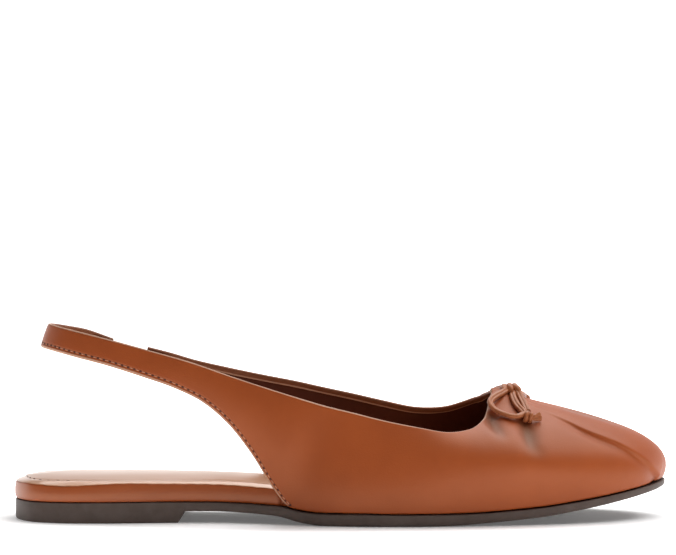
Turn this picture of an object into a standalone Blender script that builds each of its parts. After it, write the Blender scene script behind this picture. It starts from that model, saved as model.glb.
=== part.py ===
"""Right sling back ballet flat with a low moulded heel and a small cord bow, in metres.

Stations are measured forward from the back of the heel. The outer (lateral) side is -Y, the inner
(medial) side is +Y and the floor is Z = 0. At the end the shoe is stood over the origin.
"""
import math

import bmesh
import bpy
import numpy as np
from mathutils import Vector
from mathutils.bvhtree import BVHTree

# Sole
LENGTH = 0.2476
HEEL_WIDTH = 0.0524
BALL_WIDTH = 0.0800
HEEL_LENGTH = 0.0634
BREAST_SLANT = 0.0023
WAIST_LIFT = 0.0042
TOE_SPRING = 0.0126
SOLE_THICKNESS = 0.0044
SOLE_ROUND = 0.0018
HEEL_ROUND = 0.0008
SOLE_CHAMFER = 0.0004
END_REACH = 0.0400
TOE_TURN = 0.0360
EDGE_SHARE = 0.45
CORNER_SHARE = 0.3

# Footbed and sock
FOOTBED_THICKNESS = 0.0074
FOOTBED_ROUND = 0.0024
FOOTBED_INSET = 0.0006
SOCK_INSET = 0.0027
SOCK_THICKNESS = 0.0009
SOCK_ROUND = 0.0005
SOCK_SHOULDER = 0.0040
SOCK_CROWN = 0.0012
SOCK_CROWN_INSET = 0.0090

# Upper
WALL = 0.0017
UPPER_INSET = 0.0008
INSTEP_HEIGHT = 0.0490
COLLAR_WIDTH = 0.0620
STRAP_HEIGHT = 0.0737
GATHER_HEIGHT = 0.0022
GATHER_STATION = 0.1850
GATHER_REACH = 0.0050
GATHER_BREADTH = 0.0070
BELLY_CENTRE = 0.0743
BELLY_START = 0.15

# Elastic gore
GORE_WIDTH = 0.0070
GORE_THICKNESS = 0.0012
GORE_TUCK = 0.0080

# Bow
CORD_RADIUS = 0.00115
KNOT_STATION = 0.1886
KNOT_LENGTH = 0.0064
KNOT_BREADTH = 0.0064
KNOT_DEPTH = 0.0038
END_KNOT_LENGTH = 0.0066
END_KNOT_DEPTH = 0.0044

CLEARANCE = 0.0003

# Shares of the length between which the heel's breadth grows into the ball's
WAIST_START = 0.27
BALL_START = 0.60

# Points of the curves and the angle above which an edge stays sharp, in degrees
PLAN_STEPS = 24
TABLE_STEPS = 12
SHARP_ANGLE = 40

# Plan of the sole: station, outer edge and inner edge, as shares of the length and of the breadth
OUTLINE = (
    (0.000, 0.000, 0.000),
    (0.0105, 0.219, 0.210),
    (0.036, 0.387, 0.374),
    (0.081, 0.481, 0.470),
    (0.137, 0.500, 0.500),
    (0.202, 0.473, 0.485),
    (0.266, 0.431, 0.431),
    (0.323, 0.409, 0.376),
    (0.375, 0.430, 0.349),
    (0.423, 0.472, 0.349),
    (0.476, 0.500, 0.371),
    (0.532, 0.494, 0.403),
    (0.597, 0.480, 0.457),
    (0.665, 0.460, 0.505),
    (0.726, 0.428, 0.520),
    (0.794, 0.385, 0.510),
    (0.847, 0.340, 0.482),
    (0.903, 0.270, 0.436),
    (0.952, 0.168, 0.352),
    (0.982, 0.065, 0.262),
    (1.000, -0.100, 0.100),
)

# Side of the sole: station, lift of the waist, toe spring and thickness, as shares of their sizes
PROFILE = (
    (0.000, 1.00, 0.000, 0.77),
    (0.256, 1.00, 0.000, 0.77),
    (0.303, 0.98, 0.000, 0.77),
    (0.350, 0.90, 0.000, 0.78),
    (0.376, 0.81, 0.000, 0.80),
    (0.402, 0.70, 0.000, 0.84),
    (0.420, 0.50, 0.000, 0.89),
    (0.436, 0.25, 0.000, 0.93),
    (0.456, 0.08, 0.000, 0.97),
    (0.477, 0.00, 0.000, 1.00),
    (0.520, 0.00, 0.000, 1.00),
    (0.590, 0.00, 0.000, 0.95),
    (0.640, 0.00, 0.000, 0.95),
    (0.672, 0.00, 0.020, 0.92),
    (0.717, 0.00, 0.080, 0.84),
    (0.796, 0.00, 0.215, 0.79),
    (0.848, 0.00, 0.365, 0.73),
    (0.904, 0.00, 0.555, 0.66),
    (0.967, 0.00, 0.800, 0.60),
    (1.000, 0.00, 0.940, 0.56),
)

# Thickness of the footbed and inset of its side, by station, as shares of their sizes
FOOTBED = (
    (0.000, 1.00, 0.00),
    (0.300, 1.00, 0.00),
    (0.370, 0.98, 0.15),
    (0.425, 0.92, 1.00),
    (0.480, 0.78, 1.10),
    (0.560, 0.52, 1.10),
    (0.650, 0.42, 1.10),
    (1.000, 0.40, 1.10),
)

# Strap and back edge of the outer quarter, from the heel forwards. Lower edge, then top edge: station
# (share of LENGTH), across (share of COLLAR_WIDTH), height (share of STRAP_HEIGHT); then the belly
STRAP = (
    (0.040, 0.000, 0.878, 0.0525, 0.000, 1.000, 0.004),
    (0.0455, 0.120, 0.875, 0.0580, 0.120, 0.996, 0.004),
    (0.061, 0.208, 0.864, 0.0735, 0.207, 0.985, 0.004),
    (0.0905, 0.298, 0.840, 0.1000, 0.292, 0.965, 0.004),
    (0.150, 0.370, 0.791, 0.1590, 0.356, 0.917, 0.004),
    (0.2015, 0.395, 0.737, 0.2140, 0.376, 0.868, 0.006),
    (0.254, 0.412, 0.674, 0.2790, 0.413, 0.807, 0.010),
    (0.296, 0.435, 0.602, 0.3290, 0.442, 0.750, 0.018),
    (0.3325, 0.460, 0.497, 0.3675, 0.462, 0.708, 0.028),
    (0.368, 0.474, 0.345, 0.4040, 0.481, 0.669, 0.038),
    (0.398, 0.480, 0.185, 0.4380, 0.500, 0.634, 0.048),
)

# End of the strap on the inner side, where the elastic gore goes in, in the same columns
STRAP_END = (0.137, 0.356, 0.795, 0.1425, 0.346, 0.913, 0.004)

# Back edge of the inner quarter, from the waist back to the elastic, in the same columns
QUARTER = (
    (0.398, 0.400, 0.185, 0.4280, 0.450, 0.687, 0.048),
    (0.368, 0.415, 0.345, 0.3900, 0.440, 0.712, 0.038),
    (0.3325, 0.415, 0.497, 0.3520, 0.428, 0.738, 0.028),
    (0.296, 0.410, 0.602, 0.3150, 0.416, 0.765, 0.018),
    (0.254, 0.400, 0.674, 0.2700, 0.400, 0.800, 0.010),
    (0.220, 0.392, 0.716, 0.2320, 0.386, 0.838, 0.006),
    (0.189, 0.385, 0.746, 0.1965, 0.371, 0.869, 0.004),
)

# Rays of the vamp and quarters from the sole's edge to the collar, round the toe from the outer side.
# Side (-1 outer, 1 inner) and station of the foot; the collar's station, across and height; the rise
# from the foot, outwards and up; the fall from the collar, along, across and up. Stations are shares
# of LENGTH, across of COLLAR_WIDTH and heights of INSTEP_HEIGHT
VAMP = (
    (-1, 0.423, 0.4705, -0.516, 0.904, 0.054, 0.20, -0.012, -0.030, -0.285),
    (-1, 0.476, 0.5175, -0.532, 0.847, 0.056, 0.20, -0.008, -0.040, -0.265),
    (-1, 0.541, 0.5690, -0.540, 0.784, 0.053, 0.20, -0.004, -0.056, -0.235),
    (-1, 0.614, 0.6180, -0.537, 0.737, 0.050, 0.20, 0.000, -0.088, -0.204),
    (-1, 0.687, 0.6580, -0.508, 0.704, 0.053, 0.21, 0.014, -0.153, -0.184),
    (-1, 0.755, 0.6890, -0.443, 0.718, 0.060, 0.23, 0.034, -0.234, -0.173),
    (-1, 0.820, 0.7050, -0.371, 0.755, 0.070, 0.25, 0.063, -0.274, -0.163),
    (-1, 0.876, 0.7155, -0.274, 0.806, 0.084, 0.27, 0.093, -0.274, -0.163),
    (-1, 0.927, 0.7220, -0.169, 0.880, 0.100, 0.29, 0.125, -0.226, -0.163),
    (-1, 0.969, 0.7270, -0.073, 0.944, 0.118, 0.31, 0.153, -0.129, -0.170),
    (1, 1.000, 0.7295, 0.016, 0.970, 0.132, 0.33, 0.174, 0.024, -0.180),
    (1, 0.969, 0.7290, 0.113, 0.970, 0.122, 0.33, 0.157, 0.161, -0.173),
    (1, 0.921, 0.7230, 0.202, 0.955, 0.104, 0.33, 0.129, 0.258, -0.173),
    (1, 0.856, 0.7110, 0.290, 0.925, 0.085, 0.33, 0.097, 0.290, -0.184),
    (1, 0.784, 0.6910, 0.363, 0.880, 0.070, 0.33, 0.061, 0.274, -0.204),
    (1, 0.707, 0.6610, 0.419, 0.835, 0.060, 0.31, 0.030, 0.210, -0.245),
    (1, 0.630, 0.6160, 0.452, 0.831, 0.059, 0.29, 0.004, 0.129, -0.276),
    (1, 0.553, 0.5675, 0.468, 0.878, 0.059, 0.27, -0.004, 0.081, -0.296),
    (1, 0.481, 0.5190, 0.468, 0.933, 0.056, 0.26, -0.008, 0.056, -0.316),
    (1, 0.423, 0.4705, 0.460, 0.985, 0.054, 0.25, -0.012, 0.040, -0.327),
)
STEPS_PER_RAY = 3
STEPS_UP_RAY = 12

# Routes of the bow's loops and ends over the vamp from the knot, on the outer and the inner side:
# station past the knot, across and lift, as shares of the knot's length, breadth and depth
OUTER_LOOP = (
    (-0.30, 0.50, 0.30), (-0.74, 0.78, 0.22), (-1.08, 1.22, 0.12), (-1.34, 1.62, 0.08), (-1.38, 1.98, 0.06),
    (-1.20, 2.36, 0.06), (-0.76, 2.76, 0.06), (-0.20, 2.98, 0.06), (0.24, 2.95, 0.06), (0.40, 2.68, 0.06),
    (0.30, 2.28, 0.06), (0.16, 1.70, 0.08), (0.08, 1.10, 0.12), (0.06, 0.58, 0.25),
)
INNER_LOOP = (
    (-0.26, 0.54, 0.20), (-0.45, 1.10, 0.06), (-0.74, 1.70, 0.06), (-0.80, 2.30, 0.06), (-0.38, 2.78, 0.06),
    (0.02, 2.92, 0.06), (0.30, 2.68, 0.06), (0.36, 2.20, 0.06), (0.30, 1.50, 0.08), (0.12, 0.60, 0.25),
)
OUTER_END = ((0.44, 0.44, 0.30), (0.56, 1.05, 0.14), (0.68, 1.75, 0.08), (0.86, 2.36, 0.08))
INNER_END = ((0.50, 0.42, 0.20), (0.76, 1.15, 0.08), (0.88, 1.90, 0.06), (0.94, 2.34, 0.06))
OUTER_END_KNOT = (1.14, 2.92)
INNER_END_KNOT = (1.10, 2.92)
LOOP_STEPS = 2

# Finishes: colour and roughness
LEATHER = ((0.42, 0.13, 0.045, 1), 0.35)
WRAP_LEATHER = ((0.42, 0.13, 0.045, 1), 0.40)
CORD_LEATHER = ((0.30, 0.085, 0.03, 1), 0.45)
SOCK_LEATHER = ((0.55, 0.27, 0.15, 1), 0.45)
RUBBER = ((0.10, 0.075, 0.065, 1), 0.60)
ELASTIC = ((0.33, 0.13, 0.06, 1), 0.80)


def smooth(rows, steps, closed=False):
    """Cubic curve through every row, with so many steps from each row to the next."""
    rows = np.asarray(rows, float)
    count = len(rows)
    spans = count if closed else count - 1
    gaps = [np.linalg.norm(rows[(i + 1) % count] - rows[i]) for i in range(spans)]
    slopes = []
    for i in range(count):
        before = rows[i] - rows[i - 1]
        after = rows[(i + 1) % count] - rows[i]
        if not closed and i == 0:
            slopes.append(after / gaps[0])
        elif not closed and i == count - 1:
            slopes.append(before / gaps[-1])
        else:
            back, ahead = gaps[i - 1], gaps[i]
            slopes.append((before / back * ahead + after / ahead * back) / (back + ahead))
    curve = []
    for i in range(spans):
        for k in range(steps):
            t = k / steps
            start, end = rows[i], rows[(i + 1) % count]
            leave, arrive = slopes[i] * gaps[i], slopes[(i + 1) % count] * gaps[i]
            curve.append(start * (2 * t ** 3 - 3 * t ** 2 + 1) + leave * (t ** 3 - 2 * t ** 2 + t)
                         + end * (3 * t ** 2 - 2 * t ** 3) + arrive * (t ** 3 - t ** 2))
    if not closed:
        curve.append(rows[-1])
    return np.array(curve)


def column(table, index):
    """Rule that reads one column of a table at any station, as a smooth curve."""
    fine = smooth([(row[0], row[index]) for row in table], TABLE_STEPS)
    return lambda station: float(np.interp(station / LENGTH, fine[:, 0], fine[:, 1]))


waist_share = column(PROFILE, 1)
spring_share = column(PROFILE, 2)
thickness_share = column(PROFILE, 3)
footbed_share = column(FOOTBED, 1)
tuck_share = column(FOOTBED, 2)


def underside(station):
    """Height of the sole's underside, as if the heel were not there."""
    return max(0.0, waist_share(station) * WAIST_LIFT + spring_share(station) * TOE_SPRING)


def sole_top(station):
    """Height of the sole's top, which the footbed and the upper stand on."""
    return underside(station) + thickness_share(station) * SOLE_THICKNESS


def sole_bottom(station):
    """Height of the sole's underside with the heel's block below its back part."""
    return 0.0 if station <= HEEL_LENGTH + CLEARANCE else underside(station)


def breadth(share):
    """Breadth that the outline's shares follow: the heel's, growing into the ball's."""
    t = min(1.0, max(0.0, (share - WAIST_START) / (BALL_START - WAIST_START)))
    return HEEL_WIDTH + (BALL_WIDTH - HEEL_WIDTH) * t * t * (3 - 2 * t)


def plan():
    """Closed outline of the sole, along the outer side to the toe and back along the inner side."""
    outer = [(row[0] * LENGTH, -row[1] * breadth(row[0])) for row in OUTLINE]
    inner = [(row[0] * LENGTH, row[2] * breadth(row[0])) for row in OUTLINE]
    return smooth(outer + inner[-2:0:-1], PLAN_STEPS, closed=True)


PLAN = plan()
PLAN_TOE = (len(OUTLINE) - 1) * PLAN_STEPS


def edges(inset):
    """Outer and inner edge of the plan, each moved in by inset, a rule of the station."""
    ahead = np.roll(PLAN, -1, axis=0) - np.roll(PLAN, 1, axis=0)
    inwards = np.stack([-ahead[:, 1], ahead[:, 0]], axis=1)
    inwards /= np.linalg.norm(inwards, axis=1)[:, None]
    moved = PLAN + inwards * np.array([inset(x) for x in PLAN[:, 0]])[:, None]
    outer = moved[:PLAN_TOE + 1]
    inner = np.vstack([moved[PLAN_TOE:], moved[:1]])[::-1]
    return outer, inner


def stations():
    """Stations of the ribs, close together round the heel, at the breast and round the toe."""
    turn = np.linspace(0, math.pi / 2, 9)
    heel = HEEL_WIDTH / 2 * (1 - np.cos(turn))
    toe = LENGTH - TOE_TURN * (1 - np.cos(turn))
    breast = [HEEL_LENGTH, HEEL_LENGTH + BREAST_SLANT]
    back = np.linspace(heel[-1], HEEL_LENGTH, 5)[1:-1]
    front = np.linspace(HEEL_LENGTH + BREAST_SLANT, toe[-1], 31)[1:-1]
    return np.array(sorted([*heel, *back, *breast, *front, *toe]))


RIBS = stations()


def ring(inset, height):
    """Closed ring of points round the plan, moved in by inset and lifted by height, both rules."""
    rule = inset if callable(inset) else lambda station: inset
    outer, inner = edges(rule)
    sides = []
    for edge in (outer, inner):
        order = np.argsort(edge[:, 0])
        points = []
        for rib in RIBS:
            shift = rule(rib) * (max(0, 1 - rib / END_REACH) - max(0, 1 - (LENGTH - rib) / END_REACH))
            x = rib + shift
            points.append((x, float(np.interp(x, edge[order, 0], edge[order, 1])), height(x)))
        sides.append(points)
    outer, inner = sides
    return outer + inner[-2:0:-1]


def stack(rings):
    """Closed solid from rings set one on another, its top and bottom filled rib by rib."""
    mesh = bmesh.new()
    loops = [[mesh.verts.new(point) for point in points] for points in rings]
    count = len(loops[0])
    for low, high in zip(loops, loops[1:]):
        for i in range(count):
            j = (i + 1) % count
            mesh.faces.new((low[i], low[j], high[j], high[i]))
    for loop in (loops[0], loops[-1]):
        last = len(RIBS) - 1
        mesh.faces.new((loop[0], loop[1], loop[-1]))
        for i in range(1, last - 1):
            mesh.faces.new((loop[i], loop[i + 1], loop[-i - 1], loop[-i]))
        mesh.faces.new((loop[last - 1], loop[last], loop[last + 1]))
    bmesh.ops.recalc_face_normals(mesh, faces=mesh.faces)
    return mesh


def paint(name, finish):
    """Plain material for one sub-part."""
    colour, roughness = finish
    material = bpy.data.materials.new(name)
    material.use_nodes = True
    shader = material.node_tree.nodes["Principled BSDF"]
    shader.inputs["Base Color"].default_value = colour
    shader.inputs["Roughness"].default_value = roughness
    return material


def piece(name, mesh, finish, parent, collection):
    """Object for one sub-part, from its bmesh."""
    data = bpy.data.meshes.new(name)
    mesh.to_mesh(data)
    mesh.free()
    data.shade_smooth()
    data.set_sharp_from_angle(angle=math.radians(SHARP_ANGLE))
    made = bpy.data.objects.new(name, data)
    made.parent = parent
    collection.objects.link(made)
    data.materials.append(paint(name, finish))
    return made


def outsole():
    """Unit sole with its moulded heel, its lower edge rounded under."""
    def turn(x):
        if x < HEEL_LENGTH + BREAST_SLANT:
            return HEEL_ROUND
        return min(SOLE_ROUND, EDGE_SHARE * (sole_top(x) - underside(x)))
    return stack([
        ring(turn, sole_bottom),
        ring(lambda x: CORNER_SHARE * turn(x), lambda x: sole_bottom(x) + CORNER_SHARE * turn(x)),
        ring(0, lambda x: sole_bottom(x) + turn(x)),
        ring(0, lambda x: sole_top(x) - SOLE_CHAMFER),
        ring(SOLE_CHAMFER, sole_top),
    ])


def footbed_inset(station):
    """Inset of the footbed's side: small at the open heel, inside the upper's wall further forward."""
    return FOOTBED_INSET + tuck_share(station) * (UPPER_INSET + WALL)


def footbed_top(station):
    """Height of the footbed's flat top, under the sock."""
    return sole_top(station) + CLEARANCE + footbed_share(station) * FOOTBED_THICKNESS


def footbed():
    """Leather-wrapped board and cushion, with an upright side and a rounded lip."""
    def seat(x):
        return sole_top(x) + CLEARANCE
    def lip(x):
        return footbed_share(x) * FOOTBED_ROUND
    return stack([
        ring(lambda x: footbed_inset(x) + SOLE_CHAMFER, seat),
        ring(footbed_inset, lambda x: seat(x) + SOLE_CHAMFER),
        ring(footbed_inset, lambda x: footbed_top(x) - lip(x)),
        ring(lambda x: footbed_inset(x) + CORNER_SHARE * lip(x),
             lambda x: footbed_top(x) - CORNER_SHARE * lip(x)),
        ring(lambda x: footbed_inset(x) + lip(x), footbed_top),
    ])


def sock():
    """Padded sock over the footbed, crowned along the middle."""
    def base(x):
        return footbed_top(x) + CLEARANCE
    def inset(extra):
        return lambda x: footbed_inset(x) + SOCK_INSET + extra
    def level(share, crown):
        return lambda x: base(x) + share * SOCK_THICKNESS + crown * SOCK_CROWN
    return stack([
        ring(inset(0.4 * SOCK_ROUND), base),
        ring(inset(0), level(0.5, 0)),
        ring(inset(SOCK_ROUND), level(1, 0)),
        ring(inset(SOCK_SHOULDER), level(1, 0.6)),
        ring(inset(SOCK_CROWN_INSET), level(1, 1)),
    ])


def outline_point(side, station):
    """Point of the upper's foot on the plan, with the plan's outward direction there."""
    half = PLAN[:PLAN_TOE + 1] if side < 0 else PLAN[PLAN_TOE:]
    at = int(np.argmin(np.abs(half[:, 0] - station))) + (0 if side < 0 else PLAN_TOE)
    if station >= LENGTH:
        at = PLAN_TOE
    ahead = PLAN[(at + 1) % len(PLAN)] - PLAN[at - 1]
    outwards = np.array([ahead[1], -ahead[0]]) / np.linalg.norm(ahead)
    return PLAN[at], outwards


def vamp_ray(row):
    """Four points that shape one ray from the sole's edge to the collar."""
    side, foot, top_x, top_y, top_z, out, up, fall_x, fall_y, fall_z = row
    edge, outwards = outline_point(side, foot * LENGTH)
    start = np.array([*(edge - outwards * UPPER_INSET), 0.0])
    start[2] = sole_top(start[0]) + CLEARANCE
    rise = np.array([*(outwards * out * COLLAR_WIDTH), up * INSTEP_HEIGHT])
    top = np.array([top_x * LENGTH, top_y * COLLAR_WIDTH, top_z * INSTEP_HEIGHT])
    fall = np.array([fall_x * LENGTH, fall_y * COLLAR_WIDTH, fall_z * INSTEP_HEIGHT])
    return np.concatenate([start, start + rise, top + fall, top])


def back_ray(row, side):
    """Four points that shape one ray across the strap or a quarter's back part."""
    low_x, low_y, low_z, top_x, top_y, top_z, belly = row
    low = np.array([low_x * LENGTH, side * low_y * COLLAR_WIDTH, low_z * STRAP_HEIGHT])
    top = np.array([top_x * LENGTH, side * top_y * COLLAR_WIDTH, top_z * STRAP_HEIGHT])
    middle = np.array([BELLY_CENTRE, 0.0, 0.0])
    outwards = (low + top) / 2 - middle
    outwards[2] = 0
    if low_x > BELLY_START:
        outwards[0] = 0
    outwards *= belly * COLLAR_WIDTH / np.linalg.norm(outwards)
    return np.concatenate([low, low + (top - low) / 3 + outwards, low + (top - low) * 2 / 3 + outwards, top])


def rays():
    """Every ray of the upper, from the strap's inner end round the heel and the toe to the gore."""
    inner_strap = [back_ray(STRAP_END, 1)] + [back_ray(row, 1) for row in STRAP[3:0:-1]]
    outer = [back_ray(row, -1) for row in STRAP]
    vamp = [vamp_ray(row) for row in VAMP]
    inner = [back_ray(row, 1) for row in QUARTER]
    fine = smooth(inner_strap + outer + vamp + inner, STEPS_PER_RAY)
    first = (len(inner_strap) + len(outer)) * STEPS_PER_RAY
    last = first + (len(vamp) - 1) * STEPS_PER_RAY
    for ray in fine[first:last + 1]:
        ray[2] = sole_top(ray[0]) + CLEARANCE
    return fine


def on_ray(ray, t):
    """Point of a ray at a share of its way up, with the leather gathered up under the bow."""
    start, rise, fall, top = ray.reshape(4, 3)
    point = (start * (1 - t) ** 3 + rise * 3 * t * (1 - t) ** 2
             + fall * 3 * t * t * (1 - t) + top * t ** 3)
    away = ((point[0] - GATHER_STATION) / GATHER_REACH) ** 2 + (point[1] / GATHER_BREADTH) ** 2
    point[2] += GATHER_HEIGHT * math.exp(-away) if point[2] > INSTEP_HEIGHT / 2 else 0
    return point


def upper(rows):
    """Vamp, quarters and strap in one open sheet, which gets its wall from a modifier."""
    mesh = bmesh.new()
    columns = []
    for ray in rows:
        columns.append([mesh.verts.new(on_ray(ray, k / STEPS_UP_RAY)) for k in range(STEPS_UP_RAY + 1)])
    for left, right in zip(columns, columns[1:]):
        for k in range(STEPS_UP_RAY):
            mesh.faces.new((left[k], right[k], right[k + 1], left[k + 1]))
    return mesh


def gore(rows):
    """Elastic band that joins the strap's inner end to the inner quarter, tucked inside both."""
    centre = [on_ray(ray, 0.5) for ray in rows]
    upright = [on_ray(ray, 1) - on_ray(ray, 0) for ray in rows]
    def tucked(points):
        run = [0.0]
        for before, after in zip(points, points[1:]):
            run.append(run[-1] + np.linalg.norm(after - before))
        return [np.array([np.interp(GORE_TUCK * k, run, [p[i] for p in points]) for i in range(3)])
                for k in (0.2, 0.6, 1.0)]
    strap = tucked(centre[:8])[::-1]
    quarter = tucked(centre[:-9:-1])
    path = smooth(strap + quarter, 3)
    up = np.array(upright[0] / np.linalg.norm(upright[0]) + upright[-1] / np.linalg.norm(upright[-1]))
    up /= np.linalg.norm(up)
    mesh = bmesh.new()
    sections = []
    for k, point in enumerate(path):
        ahead = path[min(k + 1, len(path) - 1)] - path[max(k - 1, 0)]
        outwards = np.cross(up, ahead)
        outwards /= np.linalg.norm(outwards)
        inner = point - outwards * (WALL + CLEARANCE + GORE_THICKNESS)
        corners = [inner + outwards * GORE_THICKNESS * a + up * GORE_WIDTH / 2 * b
                   for a, b in ((0, -1), (1, -1), (1, 1), (0, 1))]
        sections.append([mesh.verts.new(corner) for corner in corners])
    for low, high in zip(sections, sections[1:]):
        for i in range(4):
            mesh.faces.new((low[i], low[(i + 1) % 4], high[(i + 1) % 4], high[i]))
    mesh.faces.new(sections[0])
    mesh.faces.new(sections[-1])
    bmesh.ops.recalc_face_normals(mesh, faces=mesh.faces)
    return mesh


def over(surface, station, across):
    """Point of the vamp's outer surface below a place in plan."""
    hit = surface.ray_cast(Vector((station, across, STRAP_HEIGHT)), Vector((0, 0, -1)))[0]
    if hit is None:
        hit = surface.find_nearest(Vector((station, across, INSTEP_HEIGHT)))[0]
    return Vector((station, across, hit.z))


def bow_route(surface, route, side):
    """Points of one strand of the bow, lying on the vamp."""
    points = []
    for along, across, lift in smooth(route, LOOP_STEPS):
        point = over(surface, KNOT_STATION + along * KNOT_LENGTH, side * across * KNOT_BREADTH)
        point.z += CORD_RADIUS + 2 * CLEARANCE + lift * KNOT_DEPTH
        points.append(point)
    return points


def strand(name, points, parent, collection):
    """Round strand of leather cord through the points, with filled ends."""
    curve = bpy.data.curves.new(name, "CURVE")
    curve.dimensions = "3D"
    curve.bevel_depth = CORD_RADIUS
    curve.bevel_resolution = 2
    curve.use_fill_caps = True
    spline = curve.splines.new("POLY")
    spline.points.add(len(points) - 1)
    for target, point in zip(spline.points, points):
        target.co = (*point, 1)
    made = bpy.data.objects.new(name, curve)
    made.parent = parent
    collection.objects.link(made)
    curve.materials.append(paint(name, CORD_LEATHER))
    return made


def lump(centre, length, wide, deep):
    """Rounded knot of cord."""
    mesh = bmesh.new()
    bmesh.ops.create_uvsphere(mesh, u_segments=16, v_segments=8, radius=0.5)
    bmesh.ops.scale(mesh, vec=(length, wide, deep), verts=mesh.verts)
    bmesh.ops.translate(mesh, vec=centre, verts=mesh.verts)
    return mesh


def bow(surface, parent, collection):
    """Knot on the throat, with a loop and a knotted end lying down each side of the vamp."""
    seat = over(surface, KNOT_STATION, 0)
    seat.z += KNOT_DEPTH / 2 + CLEARANCE
    knot = lump(seat, KNOT_LENGTH, KNOT_BREADTH, KNOT_DEPTH)
    piece("bow_knot", knot, CORD_LEATHER, parent, collection)
    sides = ((-1, "outer", OUTER_LOOP, OUTER_END, OUTER_END_KNOT),
             (1, "inner", INNER_LOOP, INNER_END, INNER_END_KNOT))
    for side, word, loop, end, (along, across) in sides:
        strand("bow_loop_" + word, bow_route(surface, loop, side), parent, collection)
        strand("bow_end_" + word, bow_route(surface, end, side), parent, collection)
        place = over(surface, KNOT_STATION + along * KNOT_LENGTH, side * across * KNOT_BREADTH)
        place.z += END_KNOT_DEPTH / 2 + 2 * CLEARANCE
        knot = lump(place, END_KNOT_LENGTH, END_KNOT_DEPTH, END_KNOT_DEPTH)
        piece("end_knot_" + word, knot, CORD_LEATHER, parent, collection)


def main():
    for old in list(bpy.data.objects):
        bpy.data.objects.remove(old)
    shoe = bpy.data.collections.new("sling_back_flat")
    bpy.context.scene.collection.children.link(shoe)
    stand = bpy.data.objects.new("stand", None)
    shoe.objects.link(stand)
    piece("outsole", outsole(), RUBBER, stand, shoe)
    piece("footbed", footbed(), WRAP_LEATHER, stand, shoe)
    piece("sock", sock(), SOCK_LEATHER, stand, shoe)
    rows = rays()
    outer = upper(rows)
    surface = BVHTree.FromBMesh(outer)
    sheet = piece("upper", outer, LEATHER, stand, shoe)
    wall = sheet.modifiers.new("wall", "SOLIDIFY")
    wall.thickness = WALL
    wall.offset = -1
    wall.use_even_offset = True
    piece("elastic_gore", gore(rows), ELASTIC, stand, shoe)
    bow(surface, stand, shoe)
    corners = [Vector(corner) for made in shoe.objects if made.type == "MESH" for corner in made.bound_box]
    stand.location.x = -(max(c.x for c in corners) + min(c.x for c in corners)) / 2
    stand.location.y = -(max(c.y for c in corners) + min(c.y for c in corners)) / 2


main()
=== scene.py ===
import math

import bmesh
import bpy
import numpy as np
from mathutils import Matrix, Vector
from mathutils.bvhtree import BVHTree


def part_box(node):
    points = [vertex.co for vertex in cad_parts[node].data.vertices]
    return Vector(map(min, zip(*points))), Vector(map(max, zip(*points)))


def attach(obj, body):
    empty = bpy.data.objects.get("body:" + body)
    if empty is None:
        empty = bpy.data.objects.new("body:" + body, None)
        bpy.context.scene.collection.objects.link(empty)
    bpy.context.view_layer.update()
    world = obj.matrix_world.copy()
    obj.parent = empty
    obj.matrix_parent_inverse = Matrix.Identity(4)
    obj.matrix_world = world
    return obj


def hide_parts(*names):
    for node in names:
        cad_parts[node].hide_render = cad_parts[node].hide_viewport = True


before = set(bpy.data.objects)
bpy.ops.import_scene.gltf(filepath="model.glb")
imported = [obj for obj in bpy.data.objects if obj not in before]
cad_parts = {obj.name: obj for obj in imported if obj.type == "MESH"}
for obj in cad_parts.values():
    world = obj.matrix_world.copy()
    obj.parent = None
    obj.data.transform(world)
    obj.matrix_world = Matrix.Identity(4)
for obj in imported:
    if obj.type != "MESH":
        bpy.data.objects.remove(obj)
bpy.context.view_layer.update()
scene = bpy.context.scene

# The studio: a white sweep under one large overhead softbox, with two weak veils of light from the front
# and a fill from the camera's left. The camera is level, 0.9 m away and square to the shoe's outer side.
LENS = 126.3
EYE = (-0.00137, -0.9015, 0.0908)
FLOOR_WHITE = (0.90, 0.90, 0.90, 1)
FLOOR_REACH = 3.0
BACKDROP_LEAST = 0.07
GLOW_UNDER = 0.11
GLOW_ROUND = 1.15
GLOW_SPAN = (0.11, 0.20)
GLOW_FADE = (-0.30, -0.12)
GLOW_OVAL = (1.0, 2.4, 1.0)

camera = bpy.data.objects.new("camera", bpy.data.cameras.new("camera"))
camera.data.lens = LENS
camera.data.sensor_width = 36
camera.location = EYE
camera.rotation_euler = (math.pi / 2, 0, 0)
scene.collection.objects.link(camera)
scene.camera = camera
scene.view_settings.view_transform = "Standard"


def softbox(name, place, aim, size, power):
    """Rectangular studio light that looks at a point."""
    light = bpy.data.lights.new(name, "AREA")
    light.shape = "RECTANGLE"
    light.size, light.size_y = size
    light.energy = power
    hung = bpy.data.objects.new(name, light)
    hung.location = place
    hung.rotation_euler = (Vector(aim) - Vector(place)).to_track_quat("-Z", "Y").to_euler()
    scene.collection.objects.link(hung)


softbox("overhead_softbox", (0.28, 0.32, 0.90), (0.12, 0.16, 0.02), (1.80, 0.95), 17.3)
softbox("front_veil", (0.34, -0.34, 0.90), (0.12, -0.10, 0.02), (1.50, 0.36), 0.4)
softbox("low_veil", (0.55, -0.72, 0.78), (0.12, -0.10, 0.02), (1.30, 0.40), 0.5)
softbox("left_fill", (-0.95, -0.80, 0.60), (0, 0, 0.03), (0.50, 0.50), 0.1)


def settle(node, settings):
    """Give a node's sockets fixed values."""
    for socket, value in settings.items():
        node.inputs[socket].default_value = value


def blend_value(nodes, links, source, low, high, least=0.0, most=1.0, eased=False):
    """Value that goes from low to high while another one goes from least to most."""
    span = nodes.new("ShaderNodeMapRange")
    span.interpolation_type = "SMOOTHSTEP" if eased else "LINEAR"
    settle(span, {"From Min": least, "From Max": most, "To Min": low, "To Max": high})
    links.new(source, span.inputs["Value"])
    return span.outputs["Result"]


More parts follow.
